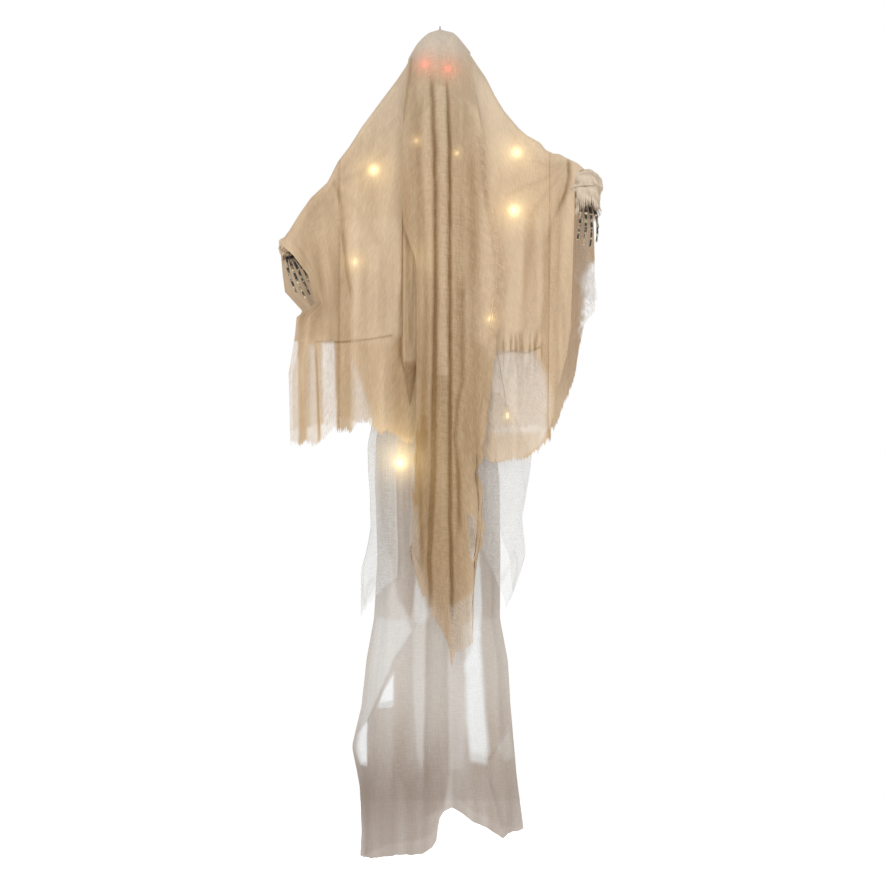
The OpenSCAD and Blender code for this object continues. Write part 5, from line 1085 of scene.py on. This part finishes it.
def solidPiece(name, tubes, material):
    # several tubes of rings, closed at both ends, as one smooth piece
    points, faces, base = [], [], 0
    for rings in tubes:
        count, sides = rings.shape[:2]
        i, j = np.meshgrid(np.arange(count - 1), np.arange(sides), indexing="ij")
        nxt = (j + 1) % sides
        quads = np.stack([i * sides + j, (i + 1) * sides + j, (i + 1) * sides + nxt, i * sides + nxt], -1)
        quads = quads.reshape(-1, 4) + base
        caps = [base + np.arange(sides), base + (count - 1) * sides + np.arange(sides)[::-1]]
        points.append(rings.reshape(-1, 3))
        faces += quads.tolist() + [c.tolist() for c in caps]
        base += count * sides
    mesh = bpy.data.meshes.new(name)
    mesh.from_pydata((np.vstack(points) * mm).tolist(), [], faces)
    mesh.materials.append(material)
    mesh.polygons.foreach_set("use_smooth", [True] * len(faces))
    mesh.update()
    return show(name, mesh)


def lampRings(place):
    # a lamp hanging in front of its string: a short socket and a domed lens
    z = np.array([9, 8.4, 3, 2.4, 1.6, -3.2, -5.6, -7.6, -8.6, -9])
    r = np.array([1.2, 3.0, 3.2, 3.2, 4.0, 4.0, 3.5, 2.4, 1.2, .2])
    middle = np.array(place) + (0, -strings["lampForward"], 0)
    return sweep(middle + np.stack([0 * z, 0 * z, z], -1), r, strings["lampSides"])


for side in ("left", "right"):
    route, lamps = strings[side]["route"], strings[side]["lamps"]
    path = smoothRoute(route)
    tube = sweep(path, np.full(len(path), strings["wireR"]), strings["wireSides"])
    wire = solidPiece(side + "LightString", [tube], wirePvc)
    lampPiece = solidPiece(side + "Lamps", [lampRings(route[k]) for k in lamps], warmLens)
    for piece, node in ((wire, side + "_light_string"), (lampPiece, side + "_bulbs")):
        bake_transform(piece)
        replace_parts(piece, node)
print("light strings made")

# three soft panels, each with its place and power, a pale sky, and a camera level with the middle
studio = {
    "cameraAway": 6.5, "wide": 2.288, "aim": (0.0077, -1.0718), "sensor": 36,
    "key": (-2.4, -3.6, 1.2, 80), "fill": (3.0, -3.2, -0.4, 42), "back": (0.6, 3.4, 0.6, 34),
    "panel": 2.6, "panelColour": (1, 0.985, 0.96), "middle": (0, 0, -1.0),
    "sky": 0.8, "skyColour": (1, 0.985, 0.965, 1), "floorZ": -2.45, "floorHalf": 3.2,
}


def lampPanel(name, x, y, z, power):
    # a large soft panel turned to the middle of the figure
    light = bpy.data.lights.new(name, "AREA")
    light.energy, light.size, light.color = power, studio["panel"], studio["panelColour"]
    away = np.array([x, y, z]) - studio["middle"]
    tilt, heading = np.arctan2(np.hypot(away[0], away[1]), away[2]), np.arctan2(away[0], -away[1])
    panel = show(name, light)
    panel.location = (x, y, z)
    panel.rotation_euler = (float(tilt), 0, float(heading))


for name in ("key", "fill", "back"):
    lampPanel(name, *studio[name])

world = bpy.data.worlds.new("studio")
bpy.context.scene.world = world
world.use_nodes = True
world.node_tree.nodes.clear()
seen = add(world, "LightPath", out="Is Camera Ray")
for ray in ("Is Glossy Ray", "Is Transmission Ray"):
    seen = add(world, "Math", {"operation": "MAXIMUM"}, i0=seen, i1=add(world, "LightPath", out=ray))
sky = add(world, "Background", {"Color": studio["skyColour"], "Strength": studio["sky"]})
wall = add(world, "Background", {"Color": (1, 1, 1, 1), "Strength": 1.0})
add(world, "OutputWorld", Surface=add(world, "MixShader", i0=seen, i1=sky, i2=wall))


def makeFloor():
    # pale matt floor, white to the camera except in the shadow
    m = newMaterial("floor, pale matt paint")
    grain = add(m, "TexNoise", {"Scale": 60, "Detail": 3}, "Fac", Vector=add(m, "TexCoord", out="Object"))
    colour = add(m, "Mix", {"data_type": "RGBA", 6: linear("#F1F0EE"), 7: linear("#ECEBE9")}, 2, i0=grain)
    matt = add(m, "BsdfDiffuse", Color=colour)
    lit = add(m, "AddShader", i0=matt, i1=add(m, "Emission", {"Color": (1, 1, 1, 1), "Strength": 0.45}))
    seen = add(m, "LightPath", out="Is Camera Ray")
    add(m, "OutputMaterial", Surface=add(m, "MixShader", i0=seen, i1=matt, i2=lit))
    mesh = bpy.data.meshes.new("floor")
    z, s = studio["floorZ"], studio["floorHalf"]
    mesh.from_pydata([(-s, -s, z), (s, -s, z), (s, s, z), (-s, s, z)], [], [(0, 1, 2, 3)])
    mesh.materials.append(m)
    show("floor", mesh)


makeFloor()
camera = show("camera", bpy.data.cameras.new("camera"))
camera.data.sensor_width = studio["sensor"]
camera.data.lens = studio["sensor"] * studio["cameraAway"] / studio["wide"]
camera.data.clip_end = 50
camera.location = (studio["aim"][0], -studio["cameraAway"], studio["aim"][1])
camera.rotation_euler = (np.pi / 2, 0, 0)
bpy.context.scene.camera = camera
bpy.context.scene.view_settings.view_transform = "Standard"
print("studio set")
